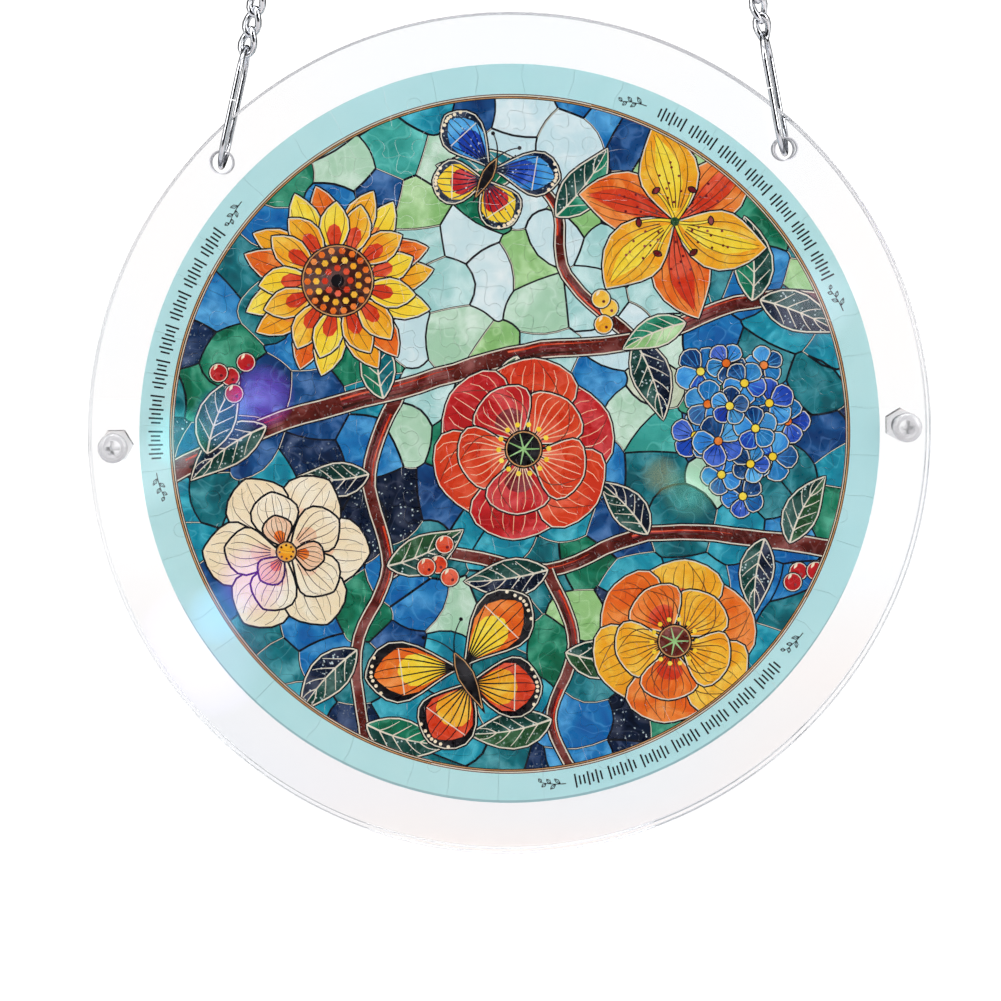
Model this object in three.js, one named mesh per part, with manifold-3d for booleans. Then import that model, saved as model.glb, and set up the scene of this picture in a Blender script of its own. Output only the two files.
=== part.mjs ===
// Acrylic puzzle suncatcher: two clear round plates, screwed together over a printed jigsaw disc,
// hang by two oval rings on one curb chain that lies over a hook.
// Millimetres, +Z up. The picture faces -Y, and the origin is where the hook bears on the chain.
import * as THREE from "three";
import { mergeVertices } from "three/addons/utils/BufferGeometryUtils.js";
import Module from "manifold-3d";

const wasm = await Module();
wasm.setup();

// Plates and puzzle
const plateDiameter = 200;
const plateThickness = 3;
const marginWidth = 12; // clear plate outside the puzzle
const puzzleThickness = 3;
const discSides = 72;

// Clearances
const contactGap = 0.3; // between pieces that touch
const threadClearance = 0.3; // all round a screw, in the plates and in the nut

// How the disc hangs: its centre is straight below the hook, and its right chain is the shorter one
const hangHeight = 360;
const discTurn = THREE.MathUtils.degToRad(2);

// Hanging holes
const hangHoleDiameter = 5;
const hangHoleAngle = THREE.MathUtils.degToRad(45); // from the top of the disc
const hangHoleSides = 24;

// Screws and nuts, M4
const threadDiameter = 3.9;
const headDiameter = 7.4;
const headHeight = 2.6;
const headDome = 1.3;
const crossSpan = 4;
const crossWidth = 0.9;
const crossDepth = 1.5;
const nutAcrossFlats = 7;
const nutHeight = 3.2;
const nutChamfer = 0.5;
const screwTip = 1.2; // what stands out of the nut
const tipChamfer = 0.5;
const roundSides = 16;

// Oval rings
const ringLength = 30;
const ringWire = 1.3;
const ringSideRoom = 1.2; // between the ring and each outer face of the plates
const ringSeatGap = 0.6; // between the ring's wire and the top of the holes, at the outer faces
const ringLinkGap = 0.4; // between the ring's wire and the chain's last link
const ringJointGap = 0.3;
const ringJointHeight = 0.6; // as a share of the ring's straight side
const ringSides = 6;
const ringSteps = 34;

// Chain
const chainPitch = 4.8;
const chainWidth = 4.9;
const chainWire = 1.1;
const linkTwist = THREE.MathUtils.degToRad(45); // of each end of a link, against its middle
const linkBite = 0.1; // how deep two links overlap where they bear on each other
const hookTurn = THREE.MathUtils.degToRad(40); // between neighbouring links over the hook
const linkCorners = 6;
const wireSides = 4;

// Worked out from the sizes above
const stackThickness = 2 * plateThickness + puzzleThickness + 2 * contactGap;
const puzzleDiameter = plateDiameter - 2 * marginWidth;
const marginRadius = (plateDiameter - marginWidth) / 2; // middle of the clear margin
const screwHoleDiameter = threadDiameter + 2 * threadClearance;
const ringRadius = stackThickness / 2 + ringSideRoom + ringWire / 2; // of the wire's middle, at the ends
const ringStraight = ringLength - ringWire - 2 * ringRadius;

const clearAcrylic = new THREE.MeshStandardMaterial({
  color: 0xf2f6f7, roughness: 0.05, metalness: 0, transparent: true, opacity: 0.35,
});
const clearNylon = new THREE.MeshStandardMaterial({
  color: 0xe4e8ea, roughness: 0.25, metalness: 0, transparent: true, opacity: 0.6,
});
const printedAcrylic = new THREE.MeshStandardMaterial({ color: 0x8fc7cf, roughness: 0.2, metalness: 0 });
const polishedSteel = new THREE.MeshStandardMaterial({ color: 0xc8cbd0, roughness: 0.15, metalness: 1 });

function namedMesh(name, geometry, material) {
  const mesh = new THREE.Mesh(geometry, material);
  mesh.name = name;
  return mesh;
}

// A closed geometry as a solid that can be joined and cut
function toSolid(geometry) {
  geometry.deleteAttribute("normal");
  geometry.deleteAttribute("uv");
  const merged = mergeVertices(geometry);
  const corners = merged.index.array;
  const triangles = [];
  for (let i = 0; i < corners.length; i += 3) {
    const [a, b, c] = corners.slice(i, i + 3);
    if (a !== b && b !== c && c !== a) triangles.push(a, b, c);
  }
  return new wasm.Manifold(new wasm.Mesh({
    numProp: 3,
    vertProperties: merged.attributes.position.array,
    triVerts: Uint32Array.from(triangles),
  }));
}

function toGeometry(solid) {
  const { vertProperties, triVerts } = solid.getMesh();
  const geometry = new THREE.BufferGeometry();
  geometry.setAttribute("position", new THREE.BufferAttribute(vertProperties, 3));
  geometry.setIndex(new THREE.BufferAttribute(triVerts, 1));
  geometry.computeVertexNormals();
  return geometry;
}

function circlePoints(x, y, radius, sides) {
  return Array.from({ length: sides }, (_, i) => {
    const angle = (i / sides) * 2 * Math.PI;
    return new THREE.Vector2(x + radius * Math.cos(angle), y + radius * Math.sin(angle));
  });
}

// A round plate in the XZ plane, with its front face at the given y
function roundPlate(radius, thickness, frontY, holes) {
  const outline = new THREE.Shape(circlePoints(0, 0, radius, discSides));
  outline.holes = holes.map(({ x, z, diameter, sides }) => (
    new THREE.Path(circlePoints(x, z, diameter / 2, sides))
  ));
  const geometry = new THREE.ExtrudeGeometry(outline, { depth: thickness, bevelEnabled: false });
  geometry.rotateX(Math.PI / 2);
  geometry.translate(0, frontY + thickness, 0);
  return geometry;
}

function hangHolePlace(side) {
  return new THREE.Vector3(
    side * marginRadius * Math.sin(hangHoleAngle), 0, marginRadius * Math.cos(hangHoleAngle),
  );
}

function clearPlate(frontY) {
  const holes = [];
  for (const side of [-1, 1]) {
    const { x, z } = hangHolePlace(side);
    holes.push({ x, z, diameter: hangHoleDiameter, sides: hangHoleSides });
    holes.push({ x: side * marginRadius, z: 0, diameter: screwHoleDiameter, sides: roundSides });
  }
  return roundPlate(plateDiameter / 2, plateThickness, frontY, holes);
}

// Pan-head screw along Y, its head in front, with a cross recess
function screw() {
  const underHead = -stackThickness / 2 - contactGap;
  const headTop = underHead - headHeight;
  const end = stackThickness / 2 + contactGap + nutHeight + screwTip;
  const domeSteps = 4;
  const profile = [];
  for (let i = 0; i <= domeSteps; i += 1) {
    const angle = (i / domeSteps) * Math.PI / 2;
    profile.push(new THREE.Vector2(
      (headDiameter / 2) * Math.sin(angle), headTop + headDome * (1 - Math.cos(angle)),
    ));
  }
  profile.push(new THREE.Vector2(headDiameter / 2, underHead));
  profile.push(new THREE.Vector2(threadDiameter / 2, underHead));
  profile.push(new THREE.Vector2(threadDiameter / 2, end - tipChamfer));
  profile.push(new THREE.Vector2(threadDiameter / 2 - tipChamfer, end));
  profile.push(new THREE.Vector2(0, end));
  let solid = toSolid(new THREE.LatheGeometry(profile, roundSides));
  for (const turn of [0, Math.PI / 2]) {
    const slot = new THREE.BoxGeometry(crossSpan, 2 * crossDepth, crossWidth);
    slot.rotateY(turn);
    slot.translate(0, headTop, 0);
    solid = solid.subtract(toSolid(slot));
  }
  return toGeometry(solid);
}

// Hexagon nut along Y, its front face on the back plate, with a chamfer on both faces
function nut() {
  const cornerRadius = nutAcrossFlats / Math.sqrt(3);
  const faceRadius = nutAcrossFlats / 2;
  const half = nutHeight / 2;
  const prism = new THREE.CylinderGeometry(cornerRadius, cornerRadius, nutHeight, 6);
  const turned = new THREE.LatheGeometry([
    new THREE.Vector2(0, -half),
    new THREE.Vector2(faceRadius, -half),
    new THREE.Vector2(faceRadius + 2 * nutChamfer, nutChamfer - half),
    new THREE.Vector2(faceRadius + 2 * nutChamfer, half - nutChamfer),
    new THREE.Vector2(faceRadius, half),
    new THREE.Vector2(0, half),
  ], roundSides);
  const boreRadius = screwHoleDiameter / 2;
  const bore = new THREE.CylinderGeometry(boreRadius, boreRadius, 2 * nutHeight, roundSides);
  const geometry = toGeometry(toSolid(prism).intersect(toSolid(turned)).subtract(toSolid(bore)));
  geometry.translate(0, stackThickness / 2 + contactGap + half, 0);
  return geometry;
}

// The middle of an oval ring's wire: x across the ring, y along it from the lowest point.
// It starts above the joint in the front side, goes over the top and ends below the joint.
class OvalWire extends THREE.Curve {
  getPoint(t, target = new THREE.Vector3()) {
    const arc = Math.PI * ringRadius;
    const around = 2 * (ringStraight + arc);
    const start = ringStraight * ringJointHeight + ringJointGap / 2;
    const s = (start + t * (around - ringJointGap)) % around;
    if (s < ringStraight) return target.set(-ringRadius, ringRadius + s, 0);
    if (s < ringStraight + arc) {
      const angle = (s - ringStraight) / ringRadius;
      const x = -ringRadius * Math.cos(angle);
      return target.set(x, ringRadius + ringStraight + ringRadius * Math.sin(angle), 0);
    }
    if (s < 2 * ringStraight + arc) {
      return target.set(ringRadius, ringRadius + 2 * ringStraight + arc - s, 0);
    }
    const angle = (s - 2 * ringStraight - arc) / ringRadius;
    return target.set(ringRadius * Math.cos(angle), ringRadius - ringRadius * Math.sin(angle), 0);
  }
}

function ovalRing() {
  const section = new THREE.Shape(circlePoints(0, 0, ringWire / 2, ringSides));
  return new THREE.ExtrudeGeometry(section, {
    extrudePath: new OvalWire(), steps: ringSteps, bevelEnabled: false,
  });
}

// One link along X between two joints that are a pitch apart: a torus whose corners are moved onto
// an oval with flat ends, and whose ends are twisted against each other
function chainLink(pitch) {
  const wireRadius = chainWire / 2;
  const halfLength = (pitch + chainWire - linkBite) / 2;
  const halfWidth = (chainWidth - chainWire) / 2;
  const cornerAt = (share) => {
    const angle = share * 2 * Math.PI + Math.PI / linkCorners;
    const x = (halfLength * Math.cos(angle)) / Math.cos(Math.PI / linkCorners);
    return new THREE.Vector3(x, halfWidth * Math.sin(angle), 0);
  };
  const geometry = new THREE.TorusGeometry(1, 0.5, wireSides, linkCorners);
  const { position, uv } = geometry.attributes;
  for (let i = 0; i < position.count; i += 1) {
    const share = uv.getX(i);
    const round = uv.getY(i) * 2 * Math.PI;
    const corner = cornerAt(share);
    const into = corner.clone().sub(cornerAt(share - 1 / linkCorners)).normalize();
    const out = cornerAt(share + 1 / linkCorners).sub(corner).normalize();
    // outward along the mitre of the two stretches that meet here
    const mitre = new THREE.Vector3(into.y + out.y, -into.x - out.x, 0).divideScalar(1 + into.dot(out));
    const twist = linkTwist * (corner.x / halfLength);
    corner.addScaledVector(mitre, wireRadius * Math.cos(round));
    corner.z = wireRadius * Math.sin(round);
    corner.applyAxisAngle(new THREE.Vector3(1, 0, 0), twist);
    position.setXYZ(i, corner.x, corner.y, corner.z);
  }
  return geometry;
}

// Joints a pitch apart on the straight line between two points, without the last one
function straightJoints(from, to) {
  const count = Math.round(from.distanceTo(to) / chainPitch);
  return Array.from({ length: count }, (_, i) => from.clone().lerp(to, i / count));
}

// The joints of the links that lie over the hook, from left to right
function hookJoints() {
  const middleHeight = chainWidth / 2;
  const reach = chainPitch / 2 + chainPitch * Math.cos(hookTurn);
  const height = middleHeight - chainPitch * Math.sin(hookTurn);
  return [
    new THREE.Vector3(-reach, 0, height),
    new THREE.Vector3(-chainPitch / 2, 0, middleHeight),
    new THREE.Vector3(chainPitch / 2, 0, middleHeight),
    new THREE.Vector3(reach, 0, height),
  ];
}

// Every link from the left ring over the hook to the right ring, fused where they bear on each other
function chain(leftEnd, rightEnd) {
  const overHook = hookJoints();
  const joints = [
    ...straightJoints(leftEnd, overHook[0]),
    ...overHook.slice(0, -1),
    ...straightJoints(overHook.at(-1), rightEnd),
    rightEnd,
  ];
  const links = [];
  for (let i = 0; i + 1 < joints.length; i += 1) {
    const geometry = chainLink(joints[i].distanceTo(joints[i + 1]));
    // the two last links are turned to take their rings' wire between their sides
    if (i === 0) geometry.rotateX(linkTwist / 2);
    if (i === joints.length - 2) geometry.rotateX(-linkTwist / 2);
    const along = joints[i + 1].clone().sub(joints[i]).normalize();
    const across = new THREE.Vector3(0, 1, 0).cross(along);
    const place = new THREE.Matrix4().makeBasis(along, across, new THREE.Vector3(0, 1, 0));
    place.setPosition(joints[i].clone().add(joints[i + 1]).multiplyScalar(0.5));
    geometry.applyMatrix4(place);
    links.push(toSolid(geometry));
  }
  return toGeometry(wasm.Manifold.union(links));
}

const suncatcher = new THREE.Group();

const disc = new THREE.Group();
disc.position.z = -hangHeight;
disc.rotation.y = -discTurn;
disc.updateMatrixWorld();
suncatcher.add(disc);

const stackFront = -stackThickness / 2;
const puzzleFront = -puzzleThickness / 2;
disc.add(namedMesh("front_plate", clearPlate(stackFront), clearAcrylic));
disc.add(namedMesh("puzzle", roundPlate(puzzleDiameter / 2, puzzleThickness, puzzleFront, []), printedAcrylic));
disc.add(namedMesh("back_plate", clearPlate(-stackFront - plateThickness), clearAcrylic));

// What differs between the two sides: the nut's corners, and how far the ring hangs turned
const sides = [
  { name: "left", side: -1, nutTurn: Math.PI / 6, ringTurn: THREE.MathUtils.degToRad(1) },
  { name: "right", side: 1, nutTurn: 0, ringTurn: THREE.MathUtils.degToRad(6) },
];

// The ring's lowest point lies this far above the middle of the hole that it carries
const ringInnerRadius = ringRadius - ringWire / 2;
const ringInnerRise = ringRadius - Math.sqrt(ringInnerRadius ** 2 - (stackThickness / 2) ** 2);
const ringSeat = hangHoleDiameter / 2 - ringSeatGap - ringInnerRise;

const chainEnds = sides.map(({ name, side, nutTurn, ringTurn }) => {
  const screwMesh = namedMesh(`screw_${name}`, screw(), clearNylon);
  screwMesh.position.x = side * marginRadius;
  disc.add(screwMesh);

  const nutMesh = namedMesh(`nut_${name}`, nut(), clearNylon);
  nutMesh.position.x = side * marginRadius;
  nutMesh.rotation.y = nutTurn;
  disc.add(nutMesh);

  const hole = disc.localToWorld(hangHolePlace(side));
  const chainTop = hookJoints().at(side < 0 ? 0 : -1);
  const up = chainTop.clone().sub(hole).normalize();
  const acrossRing = new THREE.Vector3(0, 1, 0).applyAxisAngle(up, -ringTurn);
  const ringMesh = namedMesh(`ring_${name}`, ovalRing(), polishedSteel);
  const turned = new THREE.Matrix4().makeBasis(acrossRing, up, acrossRing.clone().cross(up));
  ringMesh.quaternion.setFromRotationMatrix(turned);
  ringMesh.position.copy(hole).addScaledVector(up, ringSeat);
  suncatcher.add(ringMesh);

  const ringTop = ringMesh.position.clone().addScaledVector(up, ringLength - ringWire);
  return ringTop.addScaledVector(up, -ringWire / 2 - ringLinkGap - linkBite / 2);
});

suncatcher.add(namedMesh("chain", chain(...chainEnds), polishedSteel));

export default suncatcher;
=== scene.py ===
# Acrylic puzzle suncatcher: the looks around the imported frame. Metres, +Z up, the picture faces -Y.
# The picture is drawn flat in millimetres as complex numbers, with the middle of the disc at 0.
import cmath
import math
import random

import bmesh
import bpy
import numpy as np
from mathutils import Matrix, Vector, noise
from mathutils.geometry import delaunay_2d_cdt


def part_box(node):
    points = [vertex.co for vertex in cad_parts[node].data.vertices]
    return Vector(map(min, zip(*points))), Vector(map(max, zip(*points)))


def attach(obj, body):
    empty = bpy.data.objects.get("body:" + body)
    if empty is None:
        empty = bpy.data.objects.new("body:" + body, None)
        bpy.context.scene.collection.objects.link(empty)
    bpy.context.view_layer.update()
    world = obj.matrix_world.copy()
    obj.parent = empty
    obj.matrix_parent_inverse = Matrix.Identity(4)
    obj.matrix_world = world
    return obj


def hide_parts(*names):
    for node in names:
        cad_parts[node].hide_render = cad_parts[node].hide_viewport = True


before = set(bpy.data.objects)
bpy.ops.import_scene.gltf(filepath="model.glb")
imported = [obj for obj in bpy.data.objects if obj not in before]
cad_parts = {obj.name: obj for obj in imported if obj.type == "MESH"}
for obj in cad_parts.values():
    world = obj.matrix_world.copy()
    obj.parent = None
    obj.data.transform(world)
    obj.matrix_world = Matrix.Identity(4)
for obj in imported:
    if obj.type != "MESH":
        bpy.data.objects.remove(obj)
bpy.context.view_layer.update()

MM = 0.001
MERGE_REACH = 0.001 * MM

# Plates and puzzle, from the frame
front_low, front_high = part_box("front_plate")
back_low, back_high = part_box("back_plate")
puzzle_low, puzzle_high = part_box("puzzle")
PLATE_RADIUS = (front_high.x - front_low.x) / 2
PUZZLE_RADIUS = (puzzle_high.x - puzzle_low.x) / 2
DISC_CENTRE = Vector((0, 0, (front_low.z + front_high.z) / 2))
STACK_FRONT = front_low.y
STACK_BACK = back_high.y

# The two screws give the disc's turn and the middle of its clear margin
screw_low, screw_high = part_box("screw_left")
left_screw = (screw_low + screw_high) / 2 - DISC_CENTRE
MARGIN_RADIUS = math.hypot(left_screw.x, left_screw.z)
DISC_TURN = math.atan2(-left_screw.z, -left_screw.x)
DISC_PLACE = Matrix.Translation(DISC_CENTRE) @ Matrix.Rotation(-DISC_TURN, 4, "Y")

# Holes and edges of the plates
HANG_HOLE_DIAMETER = 5.0 * MM
HANG_HOLE_ANGLE = math.radians(45)
SCREW_HOLE_DIAMETER = 4.5 * MM
PLATE_EDGE = 0.32 * MM
EDGE_SEGMENTS = 3
PLATE_STEPS = 192
DRILL_EXTRA = 1 * MM
SHARP_EDGE = math.radians(60)
SMOOTH_BELOW = math.radians(35)
FLAT_FACING = 0.999
RIM_FACING = 0.99

# Screws and nuts of clear plastic
CONTACT_GAP = 0.3 * MM
HEAD_DIAMETER = 7.0 * MM
HEAD_DOME = 1.3 * MM
DOME_STEPS = 8
UNDER_HEAD_HEIGHT = 0.3 * MM
UNDER_HEAD_WIDTH = 0.2 * MM
CROSS_SPAN = 4.2 * MM
CROSS_WIDTH = 1.0 * MM
CROSS_DEPTH = 1.7 * MM
CROSS_TAPER = 0.7
THREAD_DIAMETER = 3.9 * MM
THREAD_PITCH = 0.7 * MM
THREAD_DEPTH = 0.3 * MM
THREAD_STEPS = 24
TIP_CHAMFER = 0.5 * MM
NUT_ACROSS_FLATS = 7.0 * MM
NUT_HEIGHT = 3.2 * MM
NUT_CHAMFER = 0.5 * MM
NUT_BORE_UNDER = 0.2 * MM
NUT_SMOOTH_BELOW = math.radians(25)

# Rings and chain of wire
RING_LENGTH = 30.0 * MM
RING_WIRE = 1.3 * MM
RING_SIDE_ROOM = 1.2 * MM
RING_SEAT_GAP = 0.6 * MM
RING_LINK_GAP = 0.4 * MM
RING_JOINT_GAP = 0.3 * MM
RING_JOINT_HEIGHT = 0.6
RING_STEPS = 120
RING_TURNS = {-1: math.radians(3.2), 1: math.radians(12.5)}
CHAIN_PITCH = 4.8 * MM
CHAIN_WIDTH = 4.9 * MM
CHAIN_WIRE = 1.6 * MM
LINK_TWIST = math.radians(-45)
CHAIN_TURN = math.radians(-28)
LINK_BITE = 0.1 * MM
LINK_STEPS = 16
HOOK_TURN = math.radians(40)

# Picture, in its own millimetres
PICTURE_RADIUS = 80.3
DISC_RADIUS = PUZZLE_RADIUS / MM
PANE_PITCH = 12.5
LEAD_WIDTH = 0.5

# Border: its shade below, the fine lines inside it, and rows of marks between two sprigs each.
# A row is the angle of its middle, its half span, both in degrees, and the way its sprigs point.
SECTORS = 24
PAST_RIM = 1
FINE_LINES_REACH = 0.6
SHADE_WIDTH = 0.6
SHADE_START = 0.4
MARK_PITCH = 1.05
MARK_HEIGHT = 3.4
MARK_WIDTH = 0.42
MARKS_TOGETHER = 7
MARK_ROWS = ((45, 20, 1), (163, 20, 1), (299, 20, -1))
SPRIG_GAP = 3.5
SPRIG_LENGTH = 6.4
SPRIG_LEAVES = 5

# Jigsaw cuts
CUT_WIDTH = 0.05
CUT_PITCH = 10.2
CUT_SWAY = 0.9
CUT_MARGIN = 4.5
KNOB_RADIUS = 1.75

# How the picture becomes triangles
OUTSIDE = -1
DISC_STEPS = 240
DISC_SLACK = 0.01
MERGE_CORNERS = 0.001
STRAIGHT_ENOUGH = 0.016
LONGEST_STRAIGHT = 2.0

# Where each row of random draws starts
SHEET_SEED = 5
GROUND_SEED = 11
CUTS_SEED = 23

# Camera
CAMERA_DISTANCE = 0.8
CAMERA_DROP = math.radians(5.1)
CAMERA_TURN = math.radians(-1.8)
CAMERA_ROLL = math.radians(0.63)
FRAME_WIDTH = 0.2388
FRAME_LEFT = 0.0022
FRAME_DOWN = 0.0154

# Studio
PAPER_PLAIN = (222, 221, 223)
# The warm and cool paper colours are painted coloured light, seen through the acrylic as tints
PAPER_PAINTED_WARM_LIGHT = (229, 221, 219)
PAPER_PAINTED_COOL_LIGHT = (218, 220, 227)
PAPER_FAR = (255, 255, 255)
PAPER_FADE = (1.8, 5.0)
PAPER_REACH = (0.6, 1.6)
FLOOR_RADIUS = 5.2
FLOOR_BEHIND = 4.0
FLOOR_LEVEL = -0.9
ROOM_LIGHT = 1.2
MIRRORED_LIGHT = 1.1
MIRRORED_DARK = 0.02
CARD_REACH = math.radians(36)
CARD_SOFTNESS = math.radians(12)
DIM_START = -0.1
DIM_END = 0.5
DIM_SHIFT = 0.4

# Soft coloured glints: where on the disc the camera sees each one mirrored, its reach and its colour
GLINTS = (
    ((-79, -1), 8, (0.1, 0.8, 0.9)),
    ((-68, 4), 8, (0.15, 0.4, 1.0)),
    ((-59, 9), 8, (0.4, 0.05, 1.0)),
    ((-69, -43), 8, (0.1, 0.5, 0.9)),
    ((-61, -35), 9, (0.4, 0.05, 1.0)),
    ((-86, -9), 10, (0.4, 0.5, 0.55)),
    ((-73, -52), 17, (0.25, 0.2, 0.4)),
    ((43, -13), 7, (0.2, 0.6, 0.4)),
    ((36, -9), 5, (0.5, 0.5, 0.2)),
    ((72, 33), 11, (0.4, 0.4, 0.5)),
)
GLINT_LIGHT = 3.8

# Soft lights, each with its place, width and height, and power
SOFTBOXES = (
    ("left_softbox", (-1.3, -1.1, 0.5), (0.7, 1.4), 15),
    ("right_softbox", (1.4, -1.0, 0.4), (0.6, 1.4), 22),
    ("top_softbox", (0, -0.4, 1.5), (1.4, 0.6), 28),
)

# How often light may be thrown on. It runs many times to and fro between the faces of a clear plate.
MOST_BOUNCES = 32
MIRROR_BOUNCES = 24
CLEAR_BOUNCES = 12
DULL_BOUNCES = 2
OPEN_BOUNCES = 16


def only(thing):
    """Selects one object and nothing else."""
    bpy.ops.object.select_all(action="DESELECT")
    thing.select_set(True)
    bpy.context.view_layer.objects.active = thing


def finished(thing, name, place, *materials):
    """Names a modelled object, puts its place in its mesh and gives it its materials."""
    thing.name = name
    thing.data.name = name
    thing.data.transform(place @ thing.matrix_world)
    thing.matrix_world = Matrix.Identity(4)
    thing.data.materials.clear()
    for material in materials:
        thing.data.materials.append(material)
    return thing


def edit(thing):
    """Starts work on the edges of one object, with none of them chosen."""
    only(thing)
    bpy.ops.object.mode_set(mode="EDIT")
    bpy.ops.mesh.select_mode(type="EDGE")
    bpy.ops.mesh.select_all(action="DESELECT")


def combine(thing, other, operation):
    """Joins, cuts or intersects one shape with another, which is then gone."""
    work = thing.modifiers.new("combine", "BOOLEAN")
    work.operation = operation
    work.solver = "EXACT"
    work.object = other
    only(thing)
    bpy.ops.object.modifier_apply(modifier=work.name)
    bpy.data.objects.remove(other)


def drum(radius, low, high, steps=48):
    """A round bar along Y from one height to another."""
    bpy.ops.mesh.primitive_cylinder_add(vertices=steps, radius=radius, depth=high - low,
                                        location=(0, (low + high) / 2, 0), rotation=(-math.pi / 2, 0, 0))
    return bpy.context.object


def turned(name, profile, steps=48):
    """A solid turned about Y from an outline of radii and heights that starts and ends on the axis."""
    mesh = bpy.data.meshes.new(name)
    mesh.from_pydata([(radius, height, 0) for radius, height in profile],
                     [(step, step + 1) for step in range(len(profile) - 1)], [])
    thing = bpy.data.objects.new(name, mesh)
    bpy.context.scene.collection.objects.link(thing)
    edit(thing)
    bpy.ops.mesh.select_all(action="SELECT")
    bpy.ops.mesh.spin(steps=steps, angle=math.tau, center=(0, 0, 0), axis=(0, 1, 0))
    bpy.ops.mesh.select_all(action="SELECT")
    bpy.ops.mesh.remove_doubles(threshold=MERGE_REACH)
    bpy.ops.mesh.normals_make_consistent(inside=False)
    bpy.ops.object.mode_set(mode="OBJECT")
    return thing


def wires(name, lines, thickness, closed, roundness):
    """Wires along lines of points, as a bevelled curve that is turned into a mesh."""
    curve = bpy.data.curves.new(name, "CURVE")
    curve.dimensions = "3D"
    curve.bevel_depth = thickness / 2
    curve.bevel_resolution = roundness
    curve.use_fill_caps = not closed
    for line in lines:
        spline = curve.splines.new("POLY")
        spline.points.add(len(line) - 1)
        spline.use_cyclic_u = closed
        for point, spot in zip(spline.points, line):
            point.co = (*spot, 1.0)
    thing = bpy.data.objects.new(name, curve)
    bpy.context.scene.collection.objects.link(thing)
    only(thing)
    bpy.ops.object.convert(target="MESH")
    thing = bpy.context.object
    bpy.ops.object.shade_smooth()
    return thing


# Materials

ACRYLIC_IOR = 1.49
NYLON_IOR = 1.46


class Finish:
    """A material with its shader, and short ways to add nodes to it."""

    def __init__(self, name, **plain):
        self.material = bpy.data.materials.new(name)
        self.material.use_nodes = True
        self.tree = self.material.node_tree
        self.shader = self.tree.nodes["Principled BSDF"]
        for socket, value in plain.items():
            self.shader.inputs[socket.replace("_", " ")].default_value = value

    def node(self, kind, settings=None, **inputs):
        """Adds a node. An input is a plain value or another node's output."""
        node = self.tree.nodes.new(kind)
        for setting, value in (settings or {}).items():
            setattr(node, setting, value)
        for socket, value in inputs.items():
            self.feed(node.inputs[socket.replace("_", " ")], value)
        return node

    def feed(self, socket, value):
        """Gives a socket a plain value or links another node's output to it."""
        if isinstance(value, bpy.types.NodeSocket):
            self.tree.links.new(value, socket)
        else:
            socket.default_value = value

    def place(self):
        """Where on the piece a spot lies."""
        return self.node("ShaderNodeTexCoord").outputs["Object"]

    def noise(self, scale, detail=2.0, where=None, distortion=0.0):
        grain = self.node("ShaderNodeTexNoise", Vector=where or self.place(), Scale=scale, Detail=detail,
                          Distortion=distortion)
        return grain.outputs["Fac"]

    def ramp(self, factor, low, high, low_value, high_value):
        """Maps factor from low..high to low_value..high_value, held at both ends."""
        spread = self.node("ShaderNodeMapRange", Value=factor, From_Min=low, From_Max=high,
                           To_Min=low_value, To_Max=high_value)
        return spread.outputs["Result"]

    def mix(self, factor, first, second, blend="MIX"):
        """The first colour with a share of the second one laid over it."""
        both = self.node("ShaderNodeMix", {"data_type": "RGBA", "blend_type": blend})
        self.feed(both.inputs["Factor"], factor)
        self.feed(both.inputs[6], first)
        self.feed(both.inputs[7], second)
        return both.outputs[2]

    def set(self, **inputs):
        """Sets the shader's own sockets."""
        for socket, value in inputs.items():
            self.feed(self.shader.inputs[socket.replace("_", " ")], value)

    def bump(self, height, distance):
        bump = self.node("ShaderNodeBump", Height=height, Distance=distance, Strength=1.0)
        self.set(Normal=bump.outputs["Normal"])


def linear(red, green, blue):
    """A colour as it looks on a screen, 0 to 255, as the shader's own values."""
    def one(value):
        share = value / 255
        return share / 12.92 if share <= 0.04045 else ((share + 0.055) / 1.055) ** 2.4
    return (one(red), one(green), one(blue), 1.0)


def clear_acrylic():
    """The plates' faces, with the faintest cool and warm haze."""
    finish = Finish("clear_acrylic", IOR=ACRYLIC_IOR, Transmission_Weight=1.0, Roughness=0.0)
    haze = finish.noise(9.0, 2.0)
    tint = finish.mix(finish.ramp(haze, 0.35, 0.65, 0.0, 1.0), linear(252, 253, 254), linear(255, 253, 252))
    finish.set(Base_Color=tint)
    return finish.material


def polished_rim():
    """The plates' chamfers and sides, tinted grey, with painted shade that darkens them towards the top."""
    finish = Finish("polished_rim", IOR=ACRYLIC_IOR, Transmission_Weight=1.0, Roughness=0.04)
    haze = finish.ramp(finish.noise(14.0, 2.0), 0.35, 0.65, 0.0, 1.0)
    tint = finish.mix(haze, linear(206, 209, 214), linear(230, 232, 235))
    # Painted shade: the rim is mixed towards dark grey the higher it stands on the disc
    height = finish.node("ShaderNodeSeparateXYZ", Vector=finish.place()).outputs["Z"]
    above = finish.ramp(height, DISC_CENTRE.z, DISC_CENTRE.z + 0.7 * PLATE_RADIUS, 0.0, 0.8)
    finish.set(Base_Color=finish.mix(above, tint, linear(128, 130, 136)))
    return finish.material


def sawn_acrylic():
    """The frosted walls of the plates' holes, darkened to grey as painted shade inside the bores."""
    finish = Finish("sawn_acrylic", IOR=ACRYLIC_IOR, Transmission_Weight=0.2, Roughness=0.45)
    streaks = finish.noise(900.0, 3.0)
    # Painted shade: the walls get dark greys for the shade inside the bores; the streaks are the wall's own
    # texture
    finish.set(Base_Color=finish.mix(streaks, linear(158, 158, 163), linear(190, 190, 195)))
    finish.bump(streaks, 0.00004)
    return finish.material


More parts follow.
